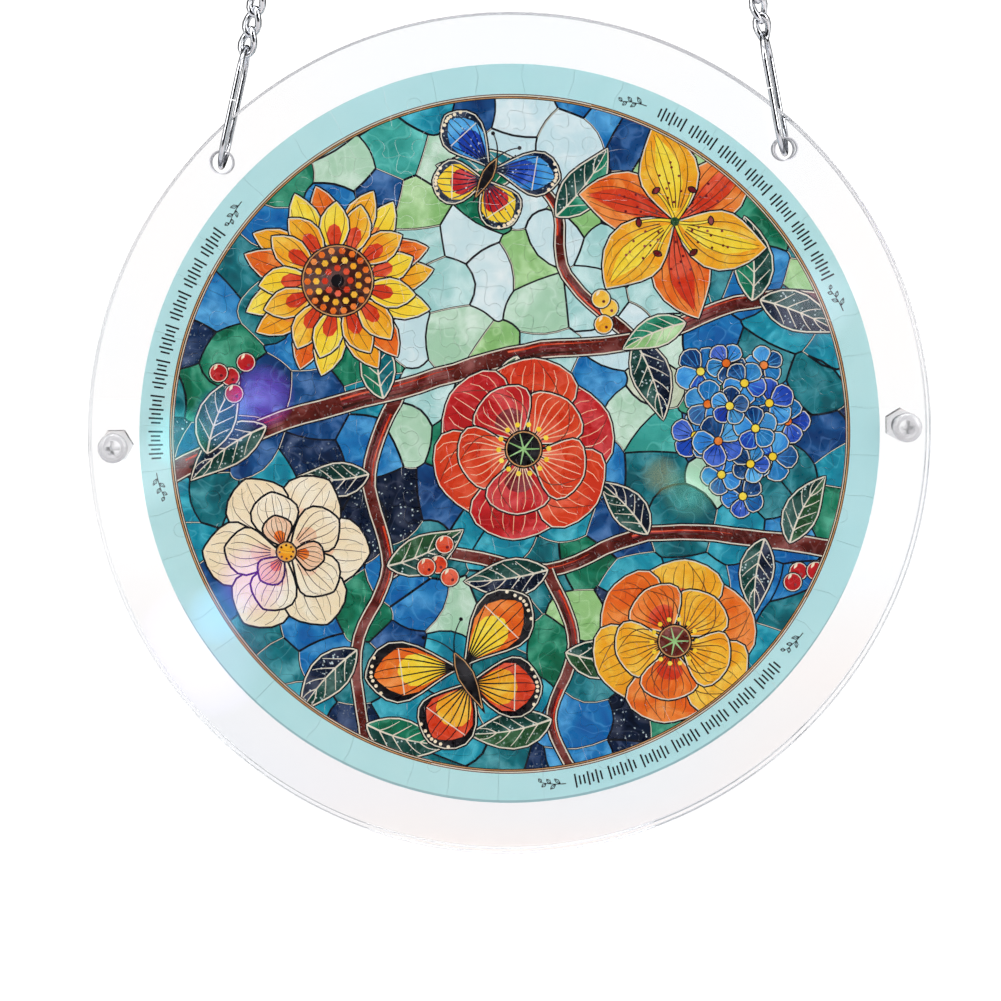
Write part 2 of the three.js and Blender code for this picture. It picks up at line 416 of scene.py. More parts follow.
def clear_nylon(name, clearness, smoothest, tone):
    """Moulded nylon: a little cloudy, with a faint flow in it."""
    finish = Finish(name, IOR=NYLON_IOR, Transmission_Weight=clearness)
    flow = finish.noise(420.0, 3.0)
    dull = linear(tone, tone, tone + 3)
    bright = linear(tone + 10, tone + 10, tone + 11)
    finish.set(Base_Color=finish.mix(flow, dull, bright))
    finish.set(Roughness=finish.ramp(flow, 0.3, 0.7, smoothest, smoothest + 0.12))
    finish.bump(flow, 0.00003)
    return finish.material


def bright_steel(name, tone):
    """Polished wire, a little duller and rougher where it is worn."""
    finish = Finish(name, Metallic=1.0)
    wear = finish.noise(500.0, 3.0)
    finish.set(Base_Color=finish.mix(finish.ramp(wear, 0.35, 0.7, 0.0, 1.0), linear(*tone),
                                     linear(*(value * 0.86 for value in tone))))
    finish.set(Roughness=finish.ramp(wear, 0.3, 0.75, 0.05, 0.14))
    finish.bump(finish.noise(2600.0, 2.0), 0.000004)
    return finish.material


def printed_acrylic():
    """The picture's inks come from the mesh; each glass colour gets its own clouds, ripples and flecks."""
    finish = Finish("printed_acrylic", Specular_IOR_Level=0.2)
    ink = finish.node("ShaderNodeAttribute", {"attribute_name": "ink"}).outputs["Color"]
    grain = finish.node("ShaderNodeAttribute", {"attribute_name": "grain"})
    parts = finish.node("ShaderNodeSeparateColor", Color=grain.outputs["Color"])
    mottle, flecks, shift = parts.outputs[0], parts.outputs[1], parts.outputs[2]
    offset = finish.node("ShaderNodeCombineXYZ", X=shift, Y=shift, Z=shift).outputs["Vector"]
    where = finish.node("ShaderNodeVectorMath", {"operation": "ADD"})
    finish.feed(where.inputs[0], finish.place())
    finish.feed(where.inputs[1], offset)
    spot = where.outputs["Vector"]
    clouds = finish.noise(110.0, 2.0, spot, 0.8)
    wash = finish.noise(420.0, 2.0, spot, 0.5)
    ripples = finish.noise(170.0, 0.0, spot, 1.0)
    light = finish.mix(0.1, finish.mix(1.0, ink, ink, "SCREEN"), (1, 1, 1, 1))
    deep = finish.mix(0.65, ink, finish.mix(1.0, ink, ink, "MULTIPLY"))
    lit = finish.mix(finish.ramp(clouds, 0.36, 0.54, 0.0, 1.0), deep, ink)
    lit = finish.mix(finish.ramp(clouds, 0.5, 0.68, 0.0, 0.9), lit, light)
    lit = finish.mix(finish.ramp(wash, 0.4, 0.6, 0.4, 0.0), lit, deep)
    ridge = finish.node("ShaderNodeMath", {"operation": "PINGPONG"})
    finish.feed(ridge.inputs[0], ripples)
    finish.feed(ridge.inputs[1], 0.5)
    lit = finish.mix(finish.ramp(ridge.outputs[0], 0.46, 0.5, 0.0, 0.35), lit, light)
    glass = finish.mix(mottle, ink, lit)
    cells = finish.node("ShaderNodeTexVoronoi", Vector=spot, Scale=1150.0, Randomness=1.0)
    stars = cells.outputs["Distance"]
    scatter = finish.ramp(finish.noise(900.0, 1.0, spot), 0.5, 0.56, 0.0, 1.0)
    fleck = finish.node("ShaderNodeMath", {"operation": "MULTIPLY"})
    finish.feed(fleck.inputs[0], finish.ramp(stars, 0.2, 0.32, 1.0, 0.0))
    finish.feed(fleck.inputs[1], scatter)
    strong = finish.node("ShaderNodeMath", {"operation": "MULTIPLY"})
    finish.feed(strong.inputs[0], fleck.outputs[0])
    finish.feed(strong.inputs[1], flecks)
    finish.set(Base_Color=finish.mix(strong.outputs[0], glass, linear(206, 224, 226)))
    finish.set(Roughness=finish.ramp(wash, 0.3, 0.7, 0.25, 0.4))
    finish.bump(wash, 0.00002)
    return finish.material


def studio_paper():
    """Pale paper, lighter far away, with faint warm and cool patches of painted coloured light that show
    only through the acrylic.
    """
    finish = Finish("studio_paper", Roughness=0.9, Specular_IOR_Level=0.0)
    areas = finish.noise(0.7, 1.0)
    fibre = finish.noise(60.0, 4.0)
    # Painted coloured light: warm and cool patches mixed into the paper's colour
    tint = finish.mix(finish.ramp(areas, 0.4, 0.5, 0.0, 1.0), linear(*PAPER_PAINTED_WARM_LIGHT), linear(*PAPER_PLAIN))
    tint = finish.mix(finish.ramp(areas, 0.52, 0.62, 0.0, 1.0), tint, linear(*PAPER_PAINTED_COOL_LIGHT))
    place = finish.node("ShaderNodeSeparateXYZ", Vector=finish.place()).outputs
    for side, reach in (("X", PAPER_REACH), ("X", (-PAPER_REACH[0], -PAPER_REACH[1])), ("Y", PAPER_FADE)):
        tint = finish.mix(finish.ramp(place[side], *reach, 0.0, 1.0), tint, linear(*PAPER_FAR))
    finish.set(Base_Color=finish.mix(finish.ramp(fibre, 0.4, 0.6, 0.0, 0.04), tint, (1, 1, 1, 1)))
    return finish.material


CLEAR = clear_acrylic()
RIM = polished_rim()
SAWN = sawn_acrylic()
SCREW_NYLON = clear_nylon("screw_nylon", 0.75, 0.08, 231)
# The nuts' nylon is the screws' nylon painted lighter, as painted light against the shade they sit in
# behind the back plate
NUT_NYLON_PAINTED_LIGHT = clear_nylon("nut_nylon", 0.85, 0.14, 244)
RING_STEEL = bright_steel("ring_steel", (205, 207, 212))
CHAIN_STEEL = bright_steel("chain_steel", (214, 216, 220))
PRINT = printed_acrylic()
PAPER = studio_paper()


# Inks: colour on screen, how cloudy it is, how much it is flecked

INKS = {
    "lead": ((24, 24, 32), 0.0, 0.0),
    "silver": ((228, 222, 204), 0.1, 0.0),
    "gold_line": ((208, 158, 100), 0.3, 0.0),
    "umber_line": ((92, 44, 28), 0.3, 0.0),
    "border": ((189, 233, 236), 0.06, 0.0),
    "shaded_edge": ((156, 194, 200), 0.0, 0.0),
    "mark": ((26, 30, 34), 0.0, 0.0),
    "pale_aqua": ((184, 226, 224), 0.8, 0.0),
    "mint": ((192, 226, 202), 0.8, 0.0),
    "mist": ((216, 238, 242), 0.7, 0.0),
    "sand": ((214, 222, 198), 0.7, 0.0),
    "lime": ((166, 212, 146), 0.8, 0.0),
    "sea": ((72, 184, 174), 0.9, 0.0),
    "turquoise": ((18, 158, 182), 1.0, 0.0),
    "teal": ((12, 126, 138), 1.0, 0.0),
    "emerald": ((16, 136, 102), 1.0, 0.0),
    "azure": ((22, 130, 196), 1.0, 0.0),
    "deep_blue": ((12, 84, 148), 1.0, 0.0),
    "navy": ((12, 50, 96), 1.0, 0.3),
    "night": ((8, 30, 62), 0.8, 1.0),
    "pine": ((10, 74, 66), 0.9, 0.9),
    "moss": ((44, 96, 56), 0.9, 0.4),
    "cream": ((250, 236, 206), 0.6, 0.0),
    "shell": ((244, 206, 172), 0.7, 0.0),
    "lemon": ((252, 222, 60), 0.7, 0.0),
    "amber": ((248, 184, 36), 0.8, 0.0),
    "orange": ((240, 122, 26), 0.8, 0.0),
    "flame": ((226, 70, 26), 0.8, 0.0),
    "red": ((202, 26, 32), 0.8, 0.0),
    "wine": ((126, 16, 32), 0.8, 0.0),
    "bark": ((110, 32, 22), 0.9, 0.2),
    "cocoa": ((74, 30, 22), 0.8, 0.0),
    "royal": ((22, 80, 196), 0.9, 0.0),
    "sky": ((62, 160, 228), 0.9, 0.0),
    "soot": ((20, 18, 26), 0.3, 0.0),
}


# Inks that are never cloudy, so that they need no clouds of their own
LINE_INKS = ("lead", "silver", "gold_line", "umber_line", "border", "shaded_edge", "mark")


# Forms of the picture

def turn(angle, length=1.0):
    """A step of some length towards an angle."""
    return cmath.rect(length, angle)


def round_loop(centre, radius, steps):
    return [centre + turn(math.tau * step / steps, radius) for step in range(steps)]


def grow(loop, distance):
    """A counter-clockwise loop, moved outwards by a distance."""
    moved = []
    for before, here, after in zip(loop[-1:] + loop[:-1], loop, loop[1:] + loop[:1]):
        way = after - before
        moved.append(here - 1j * way / max(abs(way), 1e-9) * distance)
    return moved


def smooth_line(points, steps):
    """A smooth line through given points."""
    line = []
    ends = [2 * points[0] - points[1]] + list(points) + [2 * points[-1] - points[-2]]
    for a, b, c, d in zip(ends, ends[1:], ends[2:], ends[3:]):
        for step in range(steps):
            t = step / steps
            line.append(0.5 * (2 * b + (c - a) * t + (2 * a - 5 * b + 4 * c - d) * t ** 2
                               + (3 * b - a - 3 * c + d) * t ** 3))
    line.append(points[-1])
    return line


def ribbon(line, start_width, end_width):
    """A closed loop round a line, as wide as said at its start and its end."""
    left, right = [], []
    last = len(line) - 1
    for step, here in enumerate(line):
        way = line[min(step + 1, last)] - line[max(step - 1, 0)]
        half = (start_width + (end_width - start_width) * step / last) / 2
        side = 1j * way / max(abs(way), 1e-9) * half
        left.append(here + side)
        right.append(here - side)
    return right + left[::-1]


class Blade:
    """A closed form that grows along a curved middle line, such as a petal, a leaf or a wing."""

    def __init__(self, root, angle, length, width, widest=0.5, fullness=1.0, bend=0.0):
        self.root = root
        self.angle = angle
        self.length = length
        self.width = width
        self.power = math.log(0.5) / math.log(widest)
        self.fullness = fullness
        self.bend = bend or 1e-6

    def at(self, along, side=0.0):
        """The point at a share of the length, and a share (-1 to 1) of the half width."""
        along = min(max(along, 0.0), 1.0)
        arc = complex(math.sin(self.bend * along), 1 - math.cos(self.bend * along))
        middle = arc * self.length / self.bend
        half = self.width / 2 * max(math.sin(math.pi * along ** self.power), 0.0) ** self.fullness
        return self.root + turn(self.angle) * (middle + turn(self.bend * along) * 1j * side * half)

    def loop(self, steps=9, start=0.0, end=1.0, share=1.0):
        """The outline, or that of a slimmer form inside it from a share of its length to another."""
        whole = share == 1.0 and start == 0.0 and end == 1.0
        stops = [(1 - math.cos(math.pi * step / steps)) / 2 for step in range(steps + 1)]
        lower, upper = [], []
        for stop in stops:
            along = start + (end - start) * stop
            side = share if whole else share * math.sin(math.pi * stop) ** 0.5
            lower.append(self.at(along, -side))
            upper.append(self.at(along, side))
        return lower + upper[-2:0:-1]

    def line(self, side_start, side_end, start, end, steps=7):
        """A line inside the form, from one share of its width and length to another."""
        return [self.at(start + (end - start) * step / steps,
                        side_start + (side_end - side_start) * step / steps)
                for step in range(steps + 1)]


class Picture:
    """Closed forms of colour laid one over the other: at each spot, the last one laid shows."""

    def __init__(self, seed):
        self.loops = []
        self.inks = []
        self.shifts = []
        self.chance = random.Random(seed)

    def lay(self, loop, ink):
        self.loops.append(loop)
        self.inks.append(ink)
        shift = round(self.chance.uniform(0, 1), 3)
        self.shifts.append(0.0 if ink in LINE_INKS else shift)

    def pane(self, loop, ink, companion=None, lead=LEAD_WIDTH):
        """A piece of glass with its lead line, and a thin bright line inside that if one is named."""
        self.lay(grow(loop, lead / 2), "lead")
        if companion:
            self.lay(grow(loop, -lead / 4), companion)
            self.lay(grow(loop, -lead * 0.8), ink)
        else:
            self.lay(grow(loop, -lead / 2), ink)

    def draw(self, line, ink="lead", start_width=LEAD_WIDTH, end_width=None):
        end_width = start_width if end_width is None else end_width
        self.lay(ribbon(line, start_width, end_width), ink)

    def dot(self, centre, radius, ink, steps=8):
        self.lay(round_loop(centre, radius, steps), ink)


def veins(picture, blade, count, ink, width=0.32, start=0.12, end=0.9, spread=0.75):
    """Lines that fan out along a petal or a wing."""
    for number in range(count):
        side = spread * (2 * number / (count - 1) - 1)
        reach = end - 0.12 * abs(side)
        picture.draw(blade.line(side * 0.5, side, start, reach), ink, width, width * 0.45)


def leaf(picture, root, degrees, length, width, bend, ink, shade):
    """A leaf with ribs, one half of it in the shade."""
    blade = Blade(root, math.radians(degrees), length, width, 0.42, 1.0, bend)
    picture.lay(grow(blade.loop(10), 0.55), "lead")
    picture.lay(grow(blade.loop(10), 0.22), "silver")
    picture.lay(grow(blade.loop(10), -0.12), ink)
    lower = [blade.at(step / 10, 0.0) for step in range(11)]
    edge = [blade.at(step / 10, -0.93) for step in range(1, 10)]
    picture.lay(edge_first(lower, edge), shade)
    for number in range(4):
        along = 0.16 + 0.17 * number
        for side in (-0.86, 0.86):
            picture.draw(blade.line(0.0, side, along, along + 0.2, 4), "silver", 0.3, 0.14)
    picture.draw(blade.line(0.0, 0.0, -0.1, 0.97, 8), "silver", 0.5, 0.2)


def edge_first(middle, edge):
    """A counter-clockwise loop of an edge and the middle line it comes back along."""
    return [middle[0]] + edge + middle[:0:-1]


def branch(picture, points, start_width, end_width):
    """A knotted branch with a lead line, a bright line and a few long strokes of bark."""
    line = smooth_line(points, 7)
    knotted = []
    last = len(line) - 1
    for step, here in enumerate(line):
        way = line[min(step + 1, last)] - line[max(step - 1, 0)]
        wobble = 0.5 * noise.noise(Vector((here.real * 0.16, here.imag * 0.16, 3.0)))
        knotted.append(here + 1j * way / abs(way) * wobble)
    for rim, ink in ((1.3, "lead"), (0.6, "silver"), (0.0, "bark")):
        for begin in range(0, last, 7):
            stretch = knotted[begin:begin + 9]
            widths = [start_width + (end_width - start_width) * step / last + rim
                      for step in (begin, begin + len(stretch) - 1)]
            if len(stretch) > 1:
                picture.draw(stretch, ink, *widths)
    for share, ink, width in ((0.24, "flame", 0.5), (-0.22, "cocoa", 0.7), (0.02, "wine", 0.4)):
        for begin in range(2, last - 8, 9):
            part = []
            for step in range(begin, begin + 7):
                way = knotted[step + 1] - knotted[step - 1]
                part.append(knotted[step] + 1j * way / abs(way) * share * start_width)
            picture.draw(part, ink, width, width * 0.2)


def sunflower(picture, centre, radius):
    petal_rings = ((15, 1.0, 0.34, ("amber", "orange", "lemon")),
                   (13, 0.82, 0.32, ("lemon", "amber", "amber")))
    for ring, (count, reach, width, inks) in enumerate(petal_rings):
        for number in range(count):
            angle = math.tau * (number + 0.4 * ring) / count
            petal = Blade(centre + turn(angle, radius * 0.24), angle, radius * (reach - 0.24),
                          radius * width, 0.55, 0.85, 0.25 * (-1) ** number)
            picture.pane(petal.loop(8), inks[number % 3], "silver")
            picture.lay(petal.loop(5, 0.02, 0.6, 0.6), "flame" if ring else "orange")
            veins(picture, petal, 3, "umber_line", 0.26)
    picture.pane(round_loop(centre, radius * 0.37, 28), "cocoa", "gold_line")
    seed_rings = ((18, 0.31, "orange"), (13, 0.22, "amber"), (8, 0.13, "flame"))
    for ring, (count, share, ink) in enumerate(seed_rings):
        for number in range(count):
            spot = centre + turn(math.tau * (number + 0.5 * ring) / count, radius * share)
            picture.dot(spot, radius * 0.036, ink, 6)
    picture.dot(centre, radius * 0.07, "soot", 10)


def poppy(picture, centre, radius, inks=("red", "flame", "wine"), heart="soot", vein="shell"):
    for ring, (count, reach) in enumerate(((6, 1.0), (5, 0.72))):
        for number in range(count):
            angle = math.tau * (number + 0.35 * ring) / count + 0.3
            petal = Blade(centre + turn(angle, radius * 0.08), angle, radius * (reach - 0.08),
                          radius * reach * 0.98, 0.66, 0.62, 0.18)
            picture.pane(petal.loop(11), inks[(number + ring) % 2], "silver")
            picture.lay(petal.loop(6, 0.03, 0.62, 0.62), inks[2] if number % 2 else inks[1])
            veins(picture, petal, 7, vein, 0.3, 0.16, 0.93, 0.86)
            picture.draw(petal.line(-0.9, -0.2, 0.3, 0.96), "umber_line", 0.3, 0.15)
    picture.pane(round_loop(centre, radius * 0.2, 20), heart, "gold_line")
    for number in range(14):
        spot = centre + turn(math.tau * number / 14, radius * 0.27)
        picture.draw([centre + turn(math.tau * number / 14, radius * 0.19), spot], "soot", 0.3)
        picture.dot(spot, radius * 0.03, "lemon", 6)
    for number in range(7):
        picture.draw([centre, centre + turn(math.tau * number / 7, radius * 0.17)], "lime", 0.5, 0.2)


def lily(picture, centre, radius, inks=("orange", "amber"), band="lemon"):
    for ring in range(2):
        for number in range(3):
            angle = math.tau * (number + 0.5 * ring) / 3 + 0.5
            petal = Blade(centre, angle, radius * (1.0 - 0.04 * ring), radius * 0.6, 0.5, 0.9, 0.5)
            picture.pane(petal.loop(11), inks[ring], "silver")
            picture.lay(petal.loop(7, 0.05, 0.9, 0.42), band if ring else "flame")
            veins(picture, petal, 6, "umber_line", 0.28, 0.14, 0.94, 0.84)
            for spot in range(9):
                along = 0.2 + 0.05 * spot
                picture.dot(petal.at(along, 0.34 * math.sin(spot * 2.3)), 0.34, "wine", 6)
    for number in range(6):
        angle = math.tau * number / 6 + 0.8
        thread = Blade(centre, angle, radius * 0.36, 1, bend=0.5)
        picture.draw(thread.line(0, 0, 0, 1, 5), "soot", 0.95, 0.75)
        picture.draw(thread.line(0, 0, 0, 1, 5), "lemon", 0.6, 0.4)
        anther = Blade(thread.at(1.0) - turn(angle + 1.9, 1.1), angle + 1.9, 2.2, 1.4, 0.5, 0.7)
        picture.pane(anther.loop(5), "wine", None, 0.3)
    picture.dot(centre, 1.1, "moss", 10)


def magnolia(picture, centre, radius):
    petal_rings = ((6, 1.0, "cream"), (5, 0.74, "cream"), (3, 0.46, "shell"))
    for ring, (count, reach, ink) in enumerate(petal_rings):
        for number in range(count):
            angle = math.tau * (number + 0.45 * ring) / count + 0.1
            petal = Blade(centre + turn(angle, radius * 0.05), angle, radius * (reach - 0.05),
                          radius * reach * 0.78, 0.62, 0.75, -0.3)
            picture.pane(petal.loop(11), ink)
            picture.lay(petal.loop(6, 0.02, 0.55, 0.55), "shell" if ring < 2 else "orange")
            veins(picture, petal, 5, "cocoa", 0.26, 0.2, 0.95, 0.8)
    picture.pane(round_loop(centre, radius * 0.12, 14), "amber", "gold_line")
    for number in range(8):
        picture.dot(centre + turn(math.tau * number / 8, radius * 0.08), 0.32, "bark", 6)


BLUES = ("royal", "azure", "deep_blue", "sky")


def bluebell_head(picture, centre, spread, count):
    """A long head of small blue flowers, laid from its edge to its middle."""
    spots = []
    for number in range(count):
        share = math.sqrt((count - number) / count)
        spots.append(centre + complex(spread.real * share * math.cos(number * 2.4),
                                      spread.imag * share * math.sin(number * 2.4)))
    for number, spot in enumerate(spots):
        radius = 5.6 + 0.8 * math.sin(number * 1.7)
        for petal_number in range(5):
            angle = math.tau * petal_number / 5 + number
            petal = Blade(spot, angle, radius, radius * 0.95, 0.62, 0.6)
            blue = BLUES[(number + petal_number) % 4]
            picture.pane(petal.loop(6), blue, "silver", 0.42)
            veins(picture, petal, 3, "sky" if number % 2 else "night", 0.24, 0.25, 0.85, 0.6)
        picture.pane(round_loop(spot, 1.1, 8), "lemon" if number % 3 else "orange", None, 0.3)


def butterfly(picture, centre, degrees, span, inks, fringe="soot"):
    """Wings open flat, the head towards the given angle."""
    ahead = math.radians(degrees)
    for side in (-1, 1):
        hind = Blade(centre - turn(ahead, span * 0.04), ahead + side * math.radians(128),
                     span * 0.42, span * 0.36, 0.62, 0.6, side * -0.3)
        fore = Blade(centre + turn(ahead, span * 0.05), ahead + side * math.radians(62),
                     span * 0.56, span * 0.36, 0.66, 0.7, side * 0.25)
        for wing, colours in ((hind, inks[2:]), (fore, inks[:2])):
            picture.pane(wing.loop(11), fringe, "silver")
            picture.lay(wing.loop(8, 0.03, 0.9, 0.84), colours[0])
            picture.lay(wing.loop(7, 0.05, 0.66, 0.7), colours[1])
            veins(picture, wing, 6, fringe, 0.42, 0.06, 0.93, 0.84)
            for number in range(7):
                side_share = -0.8 + 1.6 * number / 6
                picture.dot(wing.at(0.93 - 0.1 * side_share ** 2, side_share), 0.45, "cream", 6)
            picture.draw(wing.line(-0.75, 0.75, 0.62, 0.62, 8), "silver", 0.25)
    body = Blade(centre - turn(ahead, span * 0.24), ahead, span * 0.4, span * 0.1, 0.6)
    picture.pane(body.loop(7), "soot", "gold_line", 0.4)
    for side in (-1, 1):
        feeler = Blade(centre + turn(ahead, span * 0.15), ahead + side * 0.3, span * 0.2, 1,
                       bend=side * 0.7)
        picture.draw(feeler.line(0, 0, 0, 1, 6), "soot", 0.4, 0.25)
        picture.dot(feeler.at(1.0), 0.5, "soot")


def berries(picture, centre, degrees, count, ink="red"):
    for number in range(count):
        angle = math.radians(degrees) + number * 2.1
        spot = centre + turn(angle, 2.9 * math.sqrt(number))
        picture.pane(round_loop(spot, 2.3, 14), ink, "silver", 0.4)
        picture.lay(Blade(spot + turn(2.6, 1.3), 1.0, 1.7, 0.7).loop(4), "cream")
        picture.dot(spot + turn(-0.8, 0.9), 0.4, "wine", 6)


# The ground of glass panes

PALE_GLASS = ("pale_aqua", "mint", "mist", "sand", "pale_aqua", "mist", "lime")
MIDDLE_GLASS = ("sea", "mint", "turquoise", "lime", "pale_aqua", "azure", "emerald", "turquoise")
DEEP_GLASS = ("teal", "turquoise", "deep_blue", "navy", "azure", "emerald", "teal", "turquoise", "night",
              "azure", "deep_blue")
PALE_MIDDLE = 4 + 34j
PALE_SPREAD = 36
PALE_CHANCE = 0.28
PALE_FROM = 0.62
MIDDLE_FROM = 0.36
PANE_SWAY = 0.42


def ground_ink(spot, chance):
    """Pale above and round the middle, deep at the sides and below."""
    pale = math.exp(-abs(spot - PALE_MIDDLE) ** 2 / (2 * PALE_SPREAD ** 2))
    pale += chance.uniform(-PALE_CHANCE, PALE_CHANCE)
    if pale > PALE_FROM:
        return chance.choice(PALE_GLASS)
    if pale > MIDDLE_FROM:
        return chance.choice(MIDDLE_GLASS)
    return chance.choice(DEEP_GLASS)


def pane_edge(start, end, steps=4):
    """The slightly bowed line between two corners, the same from either end."""
    first, last = sorted((start, end), key=lambda spot: (spot.real, spot.imag))
    middle = (first + last) / 2
    bow = 0.34 * noise.noise(Vector((middle.real * 0.21, middle.imag * 0.21, 7.0)))
    line = [first + (last - first) * (step / steps + 1j * bow * math.sin(math.pi * step / steps))
            for step in range(steps + 1)]
    return line if first == start else line[::-1]


def lay_ground(picture):
    """Panes round a loose grid of spots, each with a lead line round it."""
    chance = random.Random(GROUND_SEED)
    seeds = []
    reach = math.ceil(1.4 * PICTURE_RADIUS / PANE_PITCH)
    for row in range(-reach, reach + 1):
        for column in range(-reach, reach + 1):
            spot = complex(column + 0.5 * (row % 2), row * 0.9) * PANE_PITCH
            across = chance.uniform(-PANE_SWAY, PANE_SWAY)
            away = complex(across, chance.uniform(-PANE_SWAY, PANE_SWAY))
            seeds.append(spot + away * PANE_PITCH)
    corners = [Vector((seed.real, seed.imag)) for seed in seeds]
    triangles = delaunay_2d_cdt(corners, [], [], 0, 1e-4)[2]
    around = {}
    for a, b, c in triangles:
        meeting = middle_of_circle(seeds[a], seeds[b], seeds[c])
        for corner in (a, b, c):
            around.setdefault(corner, []).append(meeting)
    lines = {}
    for seed, ring in around.items():
        farthest = max(abs(spot) for spot in ring)
        if abs(seeds[seed]) > PICTURE_RADIUS + PANE_PITCH or farthest > 2 * PICTURE_RADIUS:
            continue
        ring.sort(key=lambda spot, middle=seeds[seed]: cmath.phase(spot - middle))
        loop = []
        for start, end in zip(ring, ring[1:] + ring[:1]):
            if abs(end - start) > 1e-6:
                edge = pane_edge(start, end)
                loop += edge[:-1]
                ends = (edge[0], edge[-1]) if edge[0].real < edge[-1].real else (edge[-1], edge[0])
                lines[ends] = edge
        picture.lay(loop, ground_ink(seeds[seed], chance))
    for edge in lines.values():
        picture.draw(edge, "lead", LEAD_WIDTH * chance.uniform(0.8, 1.15))
        picture.draw([spot + 0.12 for spot in edge], "silver" if chance.random() < 0.3 else "lead", 0.16)


def middle_of_circle(a, b, c):
    """The middle of the circle through three points."""
    b, c = b - a, c - a
    cross = 2 * (b.real * c.imag - b.imag * c.real)
    size_b, size_c = abs(b) ** 2, abs(c) ** 2
    return a + complex(c.imag * size_b - b.imag * size_c, b.real * size_c - c.real * size_b) / cross


# The whole picture

# Branches: the points that each goes through, its width at its start and at its end
BRANCHES = (
    ((-31 - 33j, -18 - 27j, 8 - 32j, 32 - 24j, 60 - 26j, 84 - 30j), 1.8, 3.8),
    ((8 - 32j, 14 - 50j, 8 - 68j, 14 - 82j), 2.4, 1.6),
    ((-26 + 12j, -34 - 8j, -30 - 30j, -38 - 50j, -36 - 76j), 2.8, 1.8),
    ((29 + 23j, 14 + 38j, 12 + 54j, 2 + 66j), 2.4, 1.2),
    ((-84 - 8j, -58 + 4j, -26 + 12j, 4 + 20j, 30 + 22j, 58 + 31j, 84 + 30j), 4.4, 2.8),
)

# Leaves: root, degrees, length, width, bend, ink and the ink of the half in the shade
LEAVES = (
    (-58 + 4j, 200, 22, 9, 0.5, "pine", "night"),
    (-30 + 10j, 105, 17, 8, -0.5, "emerald", "teal"),
    (2 + 19j, 250, 18, 8, 0.4, "pine", "moss"),
    (30 + 22j, 300, 20, 9, -0.4, "night", "pine"),
    (58 + 31j, 80, 20, 9, 0.5, "emerald", "pine"),
    (60 + 31j, 345, 20, 9, -0.3, "pine", "night"),
    (12 + 52j, 40, 20, 9, 0.4, "pine", "emerald"),
    (4 + 64j, 190, 20, 9, -0.4, "emerald", "teal"),
    (-34 - 8j, 195, 17, 8, -0.5, "night", "pine"),
    (-30 - 30j, 10, 20, 9, 0.5, "moss", "pine"),
    (-38 - 50j, 215, 20, 9, 0.4, "pine", "night"),
    (-36 - 68j, 330, 20, 9, 0.5, "emerald", "pine"),
    (60 - 26j, 250, 18, 8, 0.4, "night", "pine"),
    (66 - 27j, 75, 18, 8, -0.5, "pine", "moss"),
    (32 - 24j, 120, 17, 8, 0.4, "pine", "night"),
    (8 - 32j, 195, 20, 9, -0.3, "night", "pine"),
    (12 - 52j, 340, 19, 9, 0.5, "pine", "moss"),
    (8 - 68j, 200, 20, 9, -0.4, "moss", "pine"),
    (-72 - 2j, 80, 20, 9, -0.5, "moss", "pine"),
    (42 + 26j, 190, 16, 7, 0.4, "lime", "emerald"),
)


def band(angles, outer, inner):
    """A closed stretch of a round band from its outer radii to its inner ones."""
    outside = [turn(angle, radius) for angle, radius in zip(angles, outer)]
    inside = [turn(angle, radius) for angle, radius in zip(angles, inner)]
    return outside + inside[::-1]


def shade_width(angle):
    """How wide the shade on the border's edge is: nothing above, most below."""
    return SHADE_WIDTH * math.sqrt(max(-math.sin(angle) - SHADE_START, 0.0) / (1 - SHADE_START))


def lay_border(picture):
    """The pale band round the picture and the fine lines between them, in short sectors."""
    fine_lines = (("umber_line", "umber_line", 0.22), ("gold_line", "silver", 0.26),
                  ("soot", "umber_line", 0.26), ("silver", "gold_line", 0.2), ("umber_line", "soot", 0.22))
    for sector in range(SECTORS):
        angles = [math.tau / SECTORS * (sector + step / 10) for step in range(11)]
        golden = math.sin(2 * angles[5] + 0.6) > -0.3
        past_rim = [DISC_RADIUS + PAST_RIM] * len(angles)
        inner = PICTURE_RADIUS + FINE_LINES_REACH
        picture.lay(band(angles, past_rim, [inner] * len(angles)), "border")
        if shade_width(angles[0]) + shade_width(angles[-1]) > 0:
            shade = [DISC_RADIUS - shade_width(angle) for angle in angles]
            picture.lay(band(angles, past_rim, shade), "shaded_edge")
        for golden_ink, pale_ink, width in fine_lines:
            outer, inner = inner, inner - width
            loop = band(angles, [outer] * len(angles), [inner] * len(angles))
            picture.lay(loop, golden_ink if golden else pale_ink)


def sprig(picture, angle, heading):
    """A small leafy sprig at the end of a row of marks."""
    radius = (DISC_RADIUS + PICTURE_RADIUS) / 2 + 0.2
    along = angle + (math.pi / 2 if heading > 0 else -math.pi / 2)
    root = turn(angle, radius) - turn(along, SPRIG_LENGTH / 2)
    stem = Blade(root, along, SPRIG_LENGTH, 1, bend=0.35 * heading)
    picture.draw(stem.line(0, 0, 0, 1, 5), "mark", 0.24, 0.12)
    for number in range(SPRIG_LEAVES):
        share = 0.2 + 0.18 * number
        side = 1 if number % 2 else -1
        small = Blade(stem.at(share), along + side * 0.75 + 0.3 * heading * share,
                      2.1 - 0.2 * number, 1.0)
        picture.lay(small.loop(4), "mark")
        picture.lay(grow(small.loop(4), -0.2), "border")
        picture.draw(small.line(0, 0, 0, 0.8, 2), "mark", 0.14)


